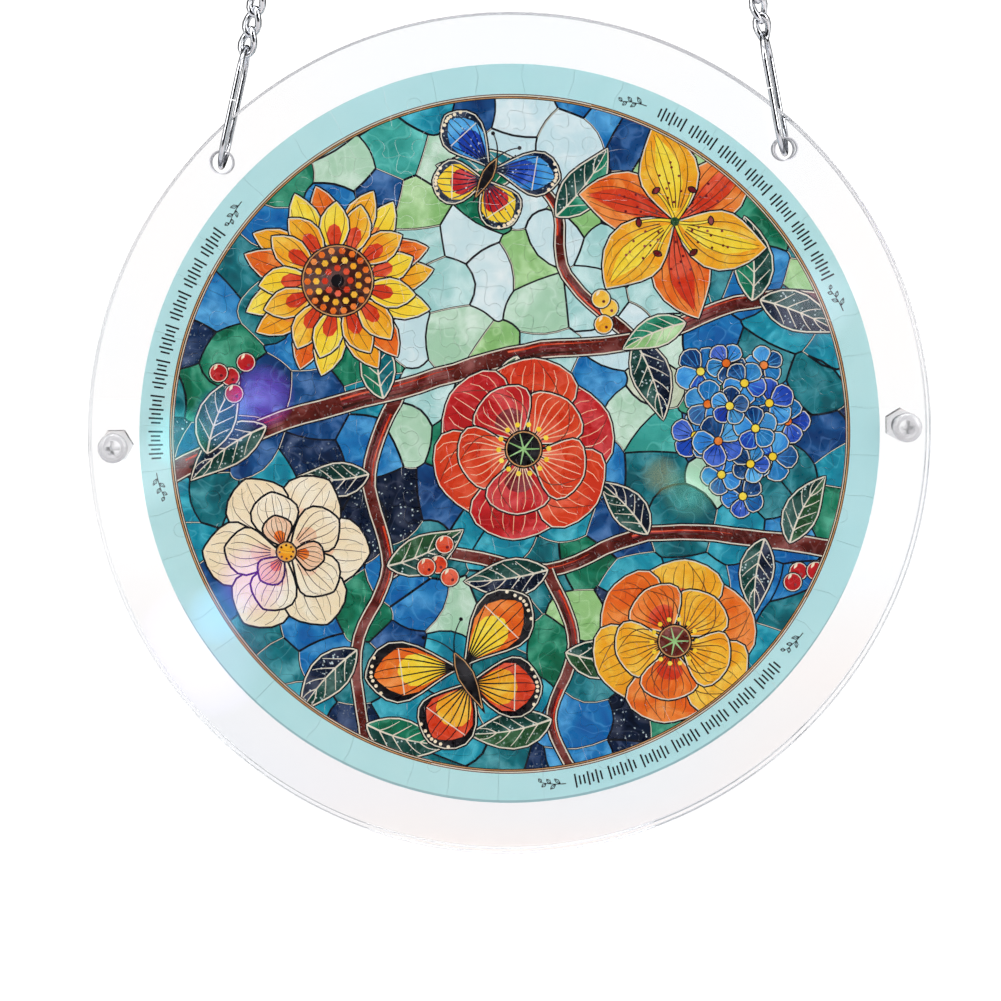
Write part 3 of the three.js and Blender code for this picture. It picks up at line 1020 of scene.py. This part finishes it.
def marks(picture, middle_degrees, half_span_degrees):
    """A row of short upright strokes in groups, which spell nothing."""
    radius = (DISC_RADIUS + PICTURE_RADIUS) / 2
    pitch = math.degrees(MARK_PITCH / radius)
    count = int(2 * half_span_degrees / pitch)
    for number in range(count + 1):
        place = number % (MARKS_TOGETHER + 1)
        if place == MARKS_TOGETHER:
            continue
        angle = math.radians(middle_degrees + (number - count / 2) * pitch)
        half = MARK_HEIGHT / 2 * (1.0 if place in (0, 3, 5) else 0.66)
        picture.draw([turn(angle, radius - half), turn(angle, radius + half)], "mark", MARK_WIDTH)


def draw_picture():
    """Panes first, then branches, leaves, blossoms, butterflies and berries, and the border last."""
    picture = Picture(SHEET_SEED)
    lay_ground(picture)
    for points, start_width, end_width in BRANCHES:
        branch(picture, points, start_width, end_width)
    for leaf_values in LEAVES:
        leaf(picture, *leaf_values)
    sunflower(picture, -40 + 38j, 23)
    lily(picture, 40 + 50j, 24)
    bluebell_head(picture, 54 + 2j, 12 + 19j, 15)
    magnolia(picture, -54 - 26j, 20)
    poppy(picture, 3 - 3j, 22)
    poppy(picture, 38 - 50j, 20, ("orange", "amber", "flame"), "bark", "umber_line")
    butterfly(picture, -12 - 57j, 115, 42, ("orange", "lemon", "flame", "amber"))
    butterfly(picture, -4 + 62j, 60, 30, ("sky", "royal", "lemon", "red"), "night")
    berries(picture, -66 + 16j, 40, 4)
    berries(picture, 24 + 30j, 10, 3, "amber")
    berries(picture, -18 - 30j, 70, 4, "flame")
    berries(picture, 68 - 34j, 120, 3)
    lay_border(picture)
    for middle, half_span, heading in MARK_ROWS:
        marks(picture, middle, half_span)
        for end in (-1, 1):
            sprig(picture, math.radians(middle + end * (half_span + SPRIG_GAP)), heading)
    return picture


# Jigsaw cuts

def knobbed(start, end, chance):
    """A cut between two corners with one round knob."""
    way = (end - start) / abs(end - start)
    side = chance.choice((-1, 1))
    middle = (start + end) / 2 + way * chance.uniform(-0.5, 0.5)
    neck = 0.62 * KNOB_RADIUS
    rise = math.sqrt(KNOB_RADIUS ** 2 - neck ** 2)
    bulb = middle + 1j * way * side * (rise + 0.7)
    opening = math.asin(neck / KNOB_RADIUS)
    knob = []
    for step in range(10):
        angle = -math.pi / 2 - opening - (math.tau - 2 * opening) * step / 9
        knob.append(bulb + way * complex(math.cos(angle), side * math.sin(angle)) * KNOB_RADIUS)
    dip = 0.45 * side
    before = [start,
              start + (middle - start) * 0.3 - 1j * way * dip * 0.8,
              start + (middle - start) * 0.6 - 1j * way * dip,
              middle - way * neck * 1.35 - 1j * way * dip * 0.3]
    after = [middle + way * neck * 1.35 - 1j * way * dip * 0.3,
             end + (middle - end) * 0.6 - 1j * way * dip,
             end + (middle - end) * 0.3 - 1j * way * dip * 0.8,
             end]
    return before + knob + after


def jigsaw_cuts():
    """Every cut as a line: a warped grid inside, and one cut to the rim from each outer corner."""
    chance = random.Random(CUTS_SEED)
    count = int(2 * DISC_RADIUS / CUT_PITCH) + 2
    grid = {}
    for row in range(-count // 2, count // 2 + 1):
        for column in range(-count // 2, count // 2 + 1):
            spot = complex(column + 0.5, row + 0.5) * CUT_PITCH
            across = chance.uniform(-CUT_SWAY, CUT_SWAY)
            grid[column, row] = spot + complex(across, chance.uniform(-CUT_SWAY, CUT_SWAY))
    inside = {key for key, spot in grid.items() if abs(spot) < DISC_RADIUS - CUT_MARGIN}
    cuts = []
    for column, row in sorted(inside):
        here = grid[column, row]
        for beside in ((column + 1, row), (column, row + 1)):
            if beside in inside:
                cuts.append(knobbed(here, grid[beside], chance))
        beside = [(column + 1, row), (column - 1, row), (column, row + 1), (column, row - 1)]
        if not all(key in inside for key in beside):
            rim = here / abs(here) * (DISC_RADIUS + PAST_RIM)
            sway = 1j * here / abs(here) * chance.uniform(-0.6, 0.6)
            cuts.append([here, here + (rim - here) * 0.35 + sway, here + (rim - here) * 0.7 - sway, rim])
    return cuts


# From lines to a mesh

def inside_loop(spots, loop):
    """Which of the spots lie inside a closed loop."""
    corners = np.array(loop)
    x, y = spots.real[:, None], spots.imag[:, None]
    ax, ay = corners.real[None, :], corners.imag[None, :]
    bx, by = np.roll(corners.real, -1)[None, :], np.roll(corners.imag, -1)[None, :]
    crosses = (ay > y) != (by > y)
    with np.errstate(divide="ignore", invalid="ignore"):
        left_of = x < (bx - ax) * (y - ay) / (by - ay) + ax
    return (crosses & left_of).sum(axis=1) % 2 == 1


def shown_forms(spots, picture, cut_loops):
    """The number of the form that shows at each spot: OUTSIDE for the cuts and past the rim."""
    order = np.argsort(spots.real)
    across = spots.real[order]
    shown = np.full(len(spots), OUTSIDE)

    def lay(loop, number):
        corners = np.array(loop)
        first, last = np.searchsorted(across, (corners.real.min(), corners.real.max()))
        near = order[first:last]
        heights = spots.imag[near]
        near = near[(heights > corners.imag.min()) & (heights < corners.imag.max())]
        if len(near):
            shown[near[inside_loop(spots[near], loop)]] = number

    for number, loop in enumerate(picture.loops):
        lay(loop, number)
    for loop in cut_loops:
        lay(loop, OUTSIDE)
    shown[abs(spots) > DISC_RADIUS - DISC_SLACK] = OUTSIDE
    return shown


def triangulate(corners, edges):
    """Triangles between all corners, with every edge kept as a side of some of them."""
    flat = [Vector((corner.real, corner.imag)) for corner in corners]
    result = delaunay_2d_cdt(flat, edges, [], 0, MERGE_CORNERS)
    spots = np.array([complex(corner.x, corner.y) for corner in result[0]])
    return spots, np.array(result[2])


def sides_of(triangles):
    """The first side of every triangle, then every second and every third one."""
    return np.concatenate([triangles[:, [0, 1]], triangles[:, [1, 2]], triangles[:, [2, 0]]])


def parting_edges(triangles, looks):
    """The edges between two triangles that look different."""
    sides = np.sort(sides_of(triangles), axis=1)
    owners = np.tile(np.arange(len(triangles)), 3)
    keys = sides[:, 0] * (triangles.max() + 1) + sides[:, 1]
    order = np.argsort(keys, kind="stable")
    same = np.nonzero(keys[order][1:] == keys[order][:-1])[0]
    first, second = order[same], order[same + 1]
    return sides[first[looks[owners[first]] != looks[owners[second]]]]


def straightened(spots, edges):
    """The same edges without the corners that lie on a straight stretch."""
    beside = {}
    for a, b in edges.tolist():
        beside.setdefault(a, set()).add(b)
        beside.setdefault(b, set()).add(a)
    for corner in list(beside):
        if len(beside[corner]) != 2:
            continue
        a, b = beside[corner]
        way = spots[b] - spots[a]
        off = abs(((spots[corner] - spots[a]) * way.conjugate()).imag) / max(abs(way), 1e-9)
        if off < STRAIGHT_ENOUGH and abs(way) < LONGEST_STRAIGHT and b not in beside[a]:
            del beside[corner]
            beside[a].remove(corner)
            beside[b].remove(corner)
            beside[a].add(b)
            beside[b].add(a)
    corners = sorted(beside)
    number = {corner: place for place, corner in enumerate(corners)}
    return spots[corners], [(number[a], number[b]) for a in corners for b in beside[a] if a < b]


def divide(picture, cuts):
    """The disc as triangles that no edge of a colour or a cut crosses, and the form that shows on each."""
    cut_loops = [ribbon(cut, CUT_WIDTH, CUT_WIDTH) for cut in cuts]
    corners, edges = [], []
    for loop in [round_loop(0, DISC_RADIUS, DISC_STEPS)] + picture.loops + cut_loops:
        first = len(corners)
        corners += loop
        edges += [(first + step, first + (step + 1) % len(loop)) for step in range(len(loop))]
    spots, triangles = triangulate(corners, edges)
    shown = shown_forms(spots[triangles].mean(axis=1), picture, cut_loops)
    pairs = list(zip(picture.inks, picture.shifts))
    numbers = {pair: number for number, pair in enumerate(pairs)}
    looks = np.array([numbers[pair] for pair in pairs] + [OUTSIDE])[shown]
    spots, edges = straightened(spots, parting_edges(triangles, looks))
    spots, triangles = triangulate(spots, edges)
    shown = shown_forms(spots[triangles].mean(axis=1), picture, cut_loops)
    return spots, triangles[shown != OUTSIDE], shown[shown != OUTSIDE]


def puzzle_piece(picture, cuts):
    """All jigsaw pieces as closed islands, with the picture on both faces and its inks down the cuts."""
    spots, triangles, shown = divide(picture, cuts)
    used = np.unique(triangles)
    renumber = np.zeros(len(spots), int)
    renumber[used] = np.arange(len(used))
    triangles = renumber[triangles]
    spots = spots[used] * MM
    corners = spots[triangles]
    area = ((corners[:, 1] - corners[:, 0]).conjugate() * (corners[:, 2] - corners[:, 0])).imag
    triangles[area < 0] = triangles[area < 0][:, ::-1]
    sides = sides_of(triangles).tolist()
    owners = np.tile(shown, 3).tolist()
    known = {(a, b) for a, b in sides}
    rim = [(a, b, owner) for (a, b), owner in zip(sides, owners) if (b, a) not in known]
    count = len(spots)
    front = [(spot.real, puzzle_low.y, spot.imag) for spot in spots.tolist()]
    back = [(spot.real, puzzle_high.y, spot.imag) for spot in spots.tolist()]
    faces = triangles.tolist() + (triangles[:, ::-1] + count).tolist()
    walls = [(b, a, a + count, b + count) for a, b, owner in rim]
    mesh = bpy.data.meshes.new("puzzle_pieces")
    mesh.from_pydata(front + back, [], faces + walls)
    colours = np.array([linear(*INKS[ink][0]) for ink in picture.inks])
    grains = np.array([(*INKS[ink][1:], shift, 1.0) for ink, shift in zip(picture.inks, picture.shifts)])
    for name, values in (("ink", colours), ("grain", grains)):
        printed = np.repeat(values[shown], 3, axis=0)
        walled = np.repeat(values[[owner for a, b, owner in rim]], 4, axis=0)
        layer = mesh.color_attributes.new(name, "FLOAT_COLOR", "CORNER")
        inked = np.concatenate([printed, printed, walled]).astype(np.float32)
        layer.data.foreach_set("color", inked.ravel())
    mesh.update()
    thing = bpy.data.objects.new("puzzle_pieces", mesh)
    bpy.context.scene.collection.objects.link(thing)
    return finished(thing, "puzzle_pieces", DISC_PLACE, PRINT)


# Plates

def hole_places():
    """The middle of each hanging hole and each screw hole of the level disc, with its diameter."""
    for side in (-1, 1):
        yield (Vector((side * MARGIN_RADIUS * math.sin(HANG_HOLE_ANGLE), 0,
                       MARGIN_RADIUS * math.cos(HANG_HOLE_ANGLE))), HANG_HOLE_DIAMETER)
        yield Vector((side * MARGIN_RADIUS, 0, 0)), SCREW_HOLE_DIAMETER


def round_edges(thing, width, segments):
    """Rounds every sharp edge."""
    edit(thing)
    shell = bmesh.from_edit_mesh(thing.data)
    for edge in shell.edges:
        edge.select_set(len(edge.link_faces) == 2 and edge.calc_face_angle() > SHARP_EDGE)
    bmesh.update_edit_mesh(thing.data)
    bpy.ops.mesh.bevel(offset=width, segments=segments, affect="EDGES")
    bpy.ops.object.mode_set(mode="OBJECT")


def clear_plate(name, low, high):
    """A round plate with its holes and all its edges broken."""
    plate = drum(PLATE_RADIUS, low, high, PLATE_STEPS)
    for place, diameter in hole_places():
        drill = drum(diameter / 2, low - DRILL_EXTRA, high + DRILL_EXTRA)
        drill.location += place
        combine(plate, drill, "DIFFERENCE")
    round_edges(plate, PLATE_EDGE, EDGE_SEGMENTS)
    only(plate)
    bpy.ops.object.shade_smooth_by_angle(angle=SMOOTH_BELOW)
    plate = finished(plate, name, DISC_PLACE, CLEAR, RIM, SAWN)
    holes = [(DISC_PLACE @ place, diameter / 2 + 2 * PLATE_EDGE) for place, diameter in hole_places()]
    for face in plate.data.polygons:
        spot = Vector((face.center.x, 0, face.center.z))
        in_hole = any((spot - Vector((place.x, 0, place.z))).length < reach for place, reach in holes)
        facing = abs(face.normal.y)
        face.use_smooth = facing < FLAT_FACING
        if facing < RIM_FACING:
            face.material_index = 2 if in_hole else 1
    return plate


# Screws and nuts

def cross_blade(head_top, angle):
    """One tapered blade of the driver's cross."""
    bpy.ops.mesh.primitive_cone_add(vertices=4, radius1=math.sqrt(0.5),
                                    radius2=CROSS_TAPER * math.sqrt(0.5), depth=2 * CROSS_DEPTH,
                                    location=(0, head_top, 0), rotation=(-math.pi / 2, 0, 0))
    blade = bpy.context.object
    for corner in blade.data.vertices:
        corner.co = Matrix.Rotation(math.pi / 4, 3, "Z") @ corner.co
        corner.co.x *= CROSS_SPAN
        corner.co.y *= CROSS_WIDTH
        corner.co = Matrix.Rotation(angle, 3, "Z") @ corner.co
    return blade


def screw(name, place):
    """A pan-head screw with a cross recess and a cut thread, its head in front."""
    head_top, end = screw_low.y, screw_high.y
    under_head = STACK_FRONT - CONTACT_GAP
    head_radius = HEAD_DIAMETER / 2
    root_radius = THREAD_DIAMETER / 2 - THREAD_DEPTH
    dome = []
    for step in range(DOME_STEPS + 1):
        angle = math.pi / 2 / DOME_STEPS * step
        dome.append((head_radius * math.sin(angle), head_top + HEAD_DOME * (1 - math.cos(angle))))
    body = turned(name, dome + [(head_radius, under_head - UNDER_HEAD_HEIGHT),
                                (head_radius - UNDER_HEAD_WIDTH, under_head),
                                (root_radius, under_head), (root_radius, end - TIP_CHAMFER),
                                (root_radius - TIP_CHAMFER, end), (0, end)])
    for angle in (0, math.pi / 2):
        combine(body, cross_blade(head_top, angle), "DIFFERENCE")
    start, stop = under_head + THREAD_PITCH, end - TIP_CHAMFER
    steps = int((stop - start) / THREAD_PITCH * THREAD_STEPS)
    helix = []
    for step in range(steps + 1):
        angle = math.tau * step / THREAD_STEPS
        helix.append((root_radius * math.cos(angle), start + (stop - start) * step / steps,
                      root_radius * math.sin(angle)))
    thread = wires("thread", [helix], 2 * THREAD_DEPTH, False, 0)
    combine(body, thread, "UNION")
    only(body)
    bpy.ops.object.shade_smooth_by_angle(angle=SMOOTH_BELOW)
    return finished(body, name, DISC_PLACE @ Matrix.Translation(place), SCREW_NYLON)


def nut(name, place, nut_turn):
    """A hexagon nut with rounded corners on both faces, behind the back plate."""
    low = STACK_BACK + CONTACT_GAP
    high = low + NUT_HEIGHT
    corner_radius = NUT_ACROSS_FLATS / math.sqrt(3)
    face_radius = NUT_ACROSS_FLATS / 2
    wide = face_radius + 2 * NUT_CHAMFER
    body = drum(corner_radius, low, high, 6)
    chamfers = turned("chamfers", [(0, low), (face_radius, low), (wide, low + NUT_CHAMFER),
                                   (wide, high - NUT_CHAMFER), (face_radius, high), (0, high)])
    combine(body, chamfers, "INTERSECT")
    bore_radius = SCREW_HOLE_DIAMETER / 2 - NUT_BORE_UNDER
    combine(body, drum(bore_radius, low - DRILL_EXTRA, high + DRILL_EXTRA), "DIFFERENCE")
    only(body)
    bpy.ops.object.shade_smooth_by_angle(angle=NUT_SMOOTH_BELOW)
    spin = Matrix.Rotation(nut_turn, 4, "Y")
    return finished(body, name, DISC_PLACE @ Matrix.Translation(place) @ spin, NUT_NYLON_PAINTED_LIGHT)


# Rings and chain

def hook_joints():
    """The joints of the links that lie over the hook, from left to right."""
    middle_height = CHAIN_WIDTH / 2
    reach = CHAIN_PITCH / 2 + CHAIN_PITCH * math.cos(HOOK_TURN)
    height = middle_height - CHAIN_PITCH * math.sin(HOOK_TURN)
    return [Vector((-reach, 0, height)), Vector((-CHAIN_PITCH / 2, 0, middle_height)),
            Vector((CHAIN_PITCH / 2, 0, middle_height)), Vector((reach, 0, height))]


def oval_point(way):
    """The middle of a ring's wire after a way from its lowest left bend: x across the ring, y up it."""
    radius = (STACK_BACK - STACK_FRONT) / 2 + RING_SIDE_ROOM + RING_WIRE / 2
    straight = RING_LENGTH - RING_WIRE - 2 * radius
    arc = math.pi * radius
    way %= 2 * (straight + arc)
    if way < straight:
        return -radius, radius + way
    if way < straight + arc:
        angle = (way - straight) / radius
        return -radius * math.cos(angle), radius + straight + radius * math.sin(angle)
    if way < 2 * straight + arc:
        return radius, radius + 2 * straight + arc - way
    angle = (way - 2 * straight - arc) / radius
    return radius * math.cos(angle), radius - radius * math.sin(angle)


def ring(name, side):
    """An oval ring that hangs from its chain through its hole, open at a fine joint in its front side."""
    hole = next(place for place, diameter in hole_places()
                if place.x * side > 0 and diameter == HANG_HOLE_DIAMETER)
    hole = DISC_PLACE @ hole
    radius = (STACK_BACK - STACK_FRONT) / 2 + RING_SIDE_ROOM + RING_WIRE / 2
    straight = RING_LENGTH - RING_WIRE - 2 * radius
    up = (hook_joints()[0 if side < 0 else -1] - hole).normalized()
    across = Matrix.Rotation(-RING_TURNS[side], 3, up) @ Vector((0, 1, 0))
    rise = radius - math.sqrt((radius - RING_WIRE / 2) ** 2 - ((STACK_BACK - STACK_FRONT) / 2) ** 2)
    foot = hole + up * (HANG_HOLE_DIAMETER / 2 - RING_SEAT_GAP - rise)
    start = straight * RING_JOINT_HEIGHT + RING_JOINT_GAP / 2
    length = 2 * (straight + math.pi * radius) - RING_JOINT_GAP
    line = []
    for step in range(RING_STEPS + 1):
        x, y = oval_point(start + length * step / RING_STEPS)
        line.append(foot + across * x + up * y)
    body = wires(name, [line], RING_WIRE, False, 4)
    chain_end = foot + up * (RING_LENGTH - 1.5 * RING_WIRE - RING_LINK_GAP - LINK_BITE / 2)
    return finished(body, name, Matrix.Identity(4), RING_STEEL), chain_end


def link_line(start, end):
    """The middle of one oval link's wire between two joints, its ends twisted against each other."""
    along = (end - start).normalized()
    front = Vector((0, 1, 0))
    across = front.cross(along)
    half_length = ((end - start).length + CHAIN_WIRE - LINK_BITE) / 2
    half_width = (CHAIN_WIDTH - CHAIN_WIRE) / 2
    line = []
    for step in range(LINK_STEPS):
        angle = math.tau * (step + 0.5) / LINK_STEPS
        x = half_length * math.cos(angle) / math.cos(math.pi / LINK_STEPS)
        y = half_width * math.sin(angle)
        twist = LINK_TWIST * x / half_length + CHAIN_TURN
        sideways = across * y * math.cos(twist) + front * y * math.sin(twist)
        line.append((start + end) / 2 + along * x + sideways)
    return line


def chain(left_end, right_end):
    """Every link from the left ring over the hook to the right ring."""
    over_hook = hook_joints()
    joints = []
    for first, last in ((left_end, over_hook[0]), (over_hook[-1], right_end)):
        count = round((last - first).length / CHAIN_PITCH)
        joints.append([first.lerp(last, step / count) for step in range(count + 1)])
    joints = joints[0] + over_hook[1:-1] + joints[1]
    lines = [link_line(start, end) for start, end in zip(joints, joints[1:])]
    links = wires("curb_chain", lines, CHAIN_WIRE, True, 1)
    return finished(links, "curb_chain", Matrix.Identity(4), CHAIN_STEEL)


# The object

def take_place(piece, node):
    """Shows a piece instead of a solid of the frame."""
    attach(piece, "root")
    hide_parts(node)


take_place(clear_plate("front_clear_plate", front_low.y, front_high.y), "front_plate")
take_place(clear_plate("back_clear_plate", back_low.y, back_high.y), "back_plate")

chain_ends = []
for side, side_name, nut_turn in ((-1, "left", math.pi / 6), (1, "right", 0)):
    beside = Vector((side * MARGIN_RADIUS, 0, 0))
    take_place(screw(f"clear_screw_{side_name}", beside), f"screw_{side_name}")
    take_place(nut(f"clear_nut_{side_name}", beside, nut_turn), f"nut_{side_name}")
    wire_ring, chain_end = ring(f"oval_ring_{side_name}", side)
    take_place(wire_ring, f"ring_{side_name}")
    chain_ends.append(chain_end)
take_place(chain(*chain_ends), "chain")
take_place(puzzle_piece(draw_picture(), jigsaw_cuts()), "puzzle")


# Camera, floor and light

def set_camera():
    """The photograph's view: from a little above, a little from the left, and slightly tilted."""
    target = DISC_CENTRE + Vector((-FRAME_LEFT, 0, -FRAME_DOWN))
    back = Vector((0, -math.cos(CAMERA_DROP), math.sin(CAMERA_DROP)))
    back = Matrix.Rotation(CAMERA_TURN, 3, "Z") @ back
    lens = bpy.data.cameras.new("camera")
    lens.angle = 2 * math.atan(FRAME_WIDTH / 2 / CAMERA_DISTANCE)
    camera = bpy.data.objects.new("camera", lens)
    bpy.context.scene.collection.objects.link(camera)
    look = (-back).to_track_quat("-Z", "Y").to_matrix().to_4x4()
    camera.matrix_world = (Matrix.Translation(target + back * CAMERA_DISTANCE) @ look
                           @ Matrix.Rotation(CAMERA_ROLL, 4, "Z"))
    bpy.context.scene.camera = camera


def add_floor():
    """A wide pale floor, well below the hanging disc."""
    bpy.ops.mesh.primitive_circle_add(vertices=96, radius=FLOOR_RADIUS, fill_type="NGON",
                                      location=(0, FLOOR_BEHIND, FLOOR_LEVEL))
    floor = bpy.context.object
    floor = finished(floor, "studio_floor", Matrix.Identity(4), PAPER)


def soft_light(name, spot, size, power):
    """A soft rectangular light that faces the disc."""
    light = bpy.data.lights.new(name, "AREA")
    light.shape = "RECTANGLE"
    light.size, light.size_y = size
    light.energy = power
    lamp = bpy.data.objects.new(name, light)
    lamp.location = spot
    lamp.rotation_euler = (DISC_CENTRE - Vector(spot)).to_track_quat("-Z", "Y").to_euler()
    bpy.context.scene.collection.objects.link(lamp)


def white_surround():
    """A white room. What shines mirrors a dark card in front of the disc and a dim room behind it."""
    world = bpy.data.worlds.new("studio")
    bpy.context.scene.world = world
    world.use_nodes = True
    # The room is nearly even, so no map of where its light comes from is needed
    world.cycles.sampling_method = "NONE"
    tree = world.node_tree

    def calculate(operation, first, second):
        step = tree.nodes.new("ShaderNodeMath")
        step.operation = operation
        for value, socket in zip((first, second), step.inputs):
            if isinstance(value, bpy.types.NodeSocket):
                tree.links.new(value, socket)
            else:
                socket.default_value = value
        return step.outputs[0]

    def ramp(value, low, high, low_value, high_value):
        spread = tree.nodes.new("ShaderNodeMapRange")
        tree.links.new(value, spread.inputs["Value"])
        names = ("From Min", "From Max", "To Min", "To Max")
        for name, plain in zip(names, (low, high, low_value, high_value)):
            spread.inputs[name].default_value = plain
        return spread.outputs["Result"]

    direction = tree.nodes.new("ShaderNodeSeparateXYZ")
    everywhere = tree.nodes.new("ShaderNodeTexCoord").outputs["Generated"]
    tree.links.new(everywhere, direction.inputs[0])
    behind = direction.outputs["Y"]
    beside_card = ramp(behind, -math.cos(CARD_REACH), -math.cos(CARD_REACH + CARD_SOFTNESS), 0.0, 1.0)
    depths = tree.nodes.new("ShaderNodeLightPath").outputs
    # Light that has crossed two clear faces meets the dim room later, so rims and nuts stay light
    through = calculate("GREATER_THAN", depths["Transmission Depth"], 1.5)
    shifted = calculate("SUBTRACT", behind, calculate("MULTIPLY", through, DIM_SHIFT))
    before_dim = ramp(shifted, DIM_START, DIM_END, 1.0, 0.0)
    lit = calculate("MULTIPLY", beside_card, before_dim)
    mirrored_light = ramp(lit, 0.0, 1.0, MIRRORED_DARK, MIRRORED_LIGHT)
    mirrored = calculate("GREATER_THAN", depths["Glossy Depth"], 0.5)
    loss = calculate("MULTIPLY", mirrored, calculate("SUBTRACT", ROOM_LIGHT, mirrored_light))
    tree.links.new(calculate("SUBTRACT", ROOM_LIGHT, loss), tree.nodes["Background"].inputs["Strength"])
    tree.nodes["Background"].inputs["Color"].default_value = (1, 1, 1, 1)
    room = tree.nodes["Background"].outputs[0]
    eye = bpy.context.scene.camera.matrix_world.translation
    for (across, up), reach, colour in GLINTS:
        way = DISC_CENTRE + Vector((across, 0, up)) * MM - eye
        near = tree.nodes.new("ShaderNodeVectorMath")
        near.operation = "DOT_PRODUCT"
        tree.links.new(everywhere, near.inputs[0])
        near.inputs[1].default_value = Vector((way.x, -way.y, way.z)).normalized()
        glow = ramp(near.outputs["Value"], math.cos(reach * MM / way.length), 1.0, 0.0, GLINT_LIGHT)
        glint = tree.nodes.new("ShaderNodeBackground")
        glint.inputs["Color"].default_value = (*colour, 1)
        tree.links.new(calculate("MULTIPLY", glow, mirrored), glint.inputs["Strength"])
        both = tree.nodes.new("ShaderNodeAddShader")
        tree.links.new(room, both.inputs[0])
        tree.links.new(glint.outputs[0], both.inputs[1])
        room = both.outputs[0]
    tree.links.new(room, tree.nodes["World Output"].inputs["Surface"])


def light_studio():
    """The white room, the soft lights and how far light is followed."""
    white_surround()
    for name, spot, size, power in SOFTBOXES:
        soft_light(name, spot, size, power)
    scene = bpy.context.scene
    scene.view_settings.view_transform = "Standard"
    scene.cycles.max_bounces = MOST_BOUNCES
    scene.cycles.transmission_bounces = CLEAR_BOUNCES
    scene.cycles.glossy_bounces = MIRROR_BOUNCES
    scene.cycles.diffuse_bounces = DULL_BOUNCES
    scene.cycles.transparent_max_bounces = OPEN_BOUNCES
    scene.cycles.caustics_refractive = True
    scene.cycles.caustics_reflective = True


set_camera()
add_floor()
light_studio()
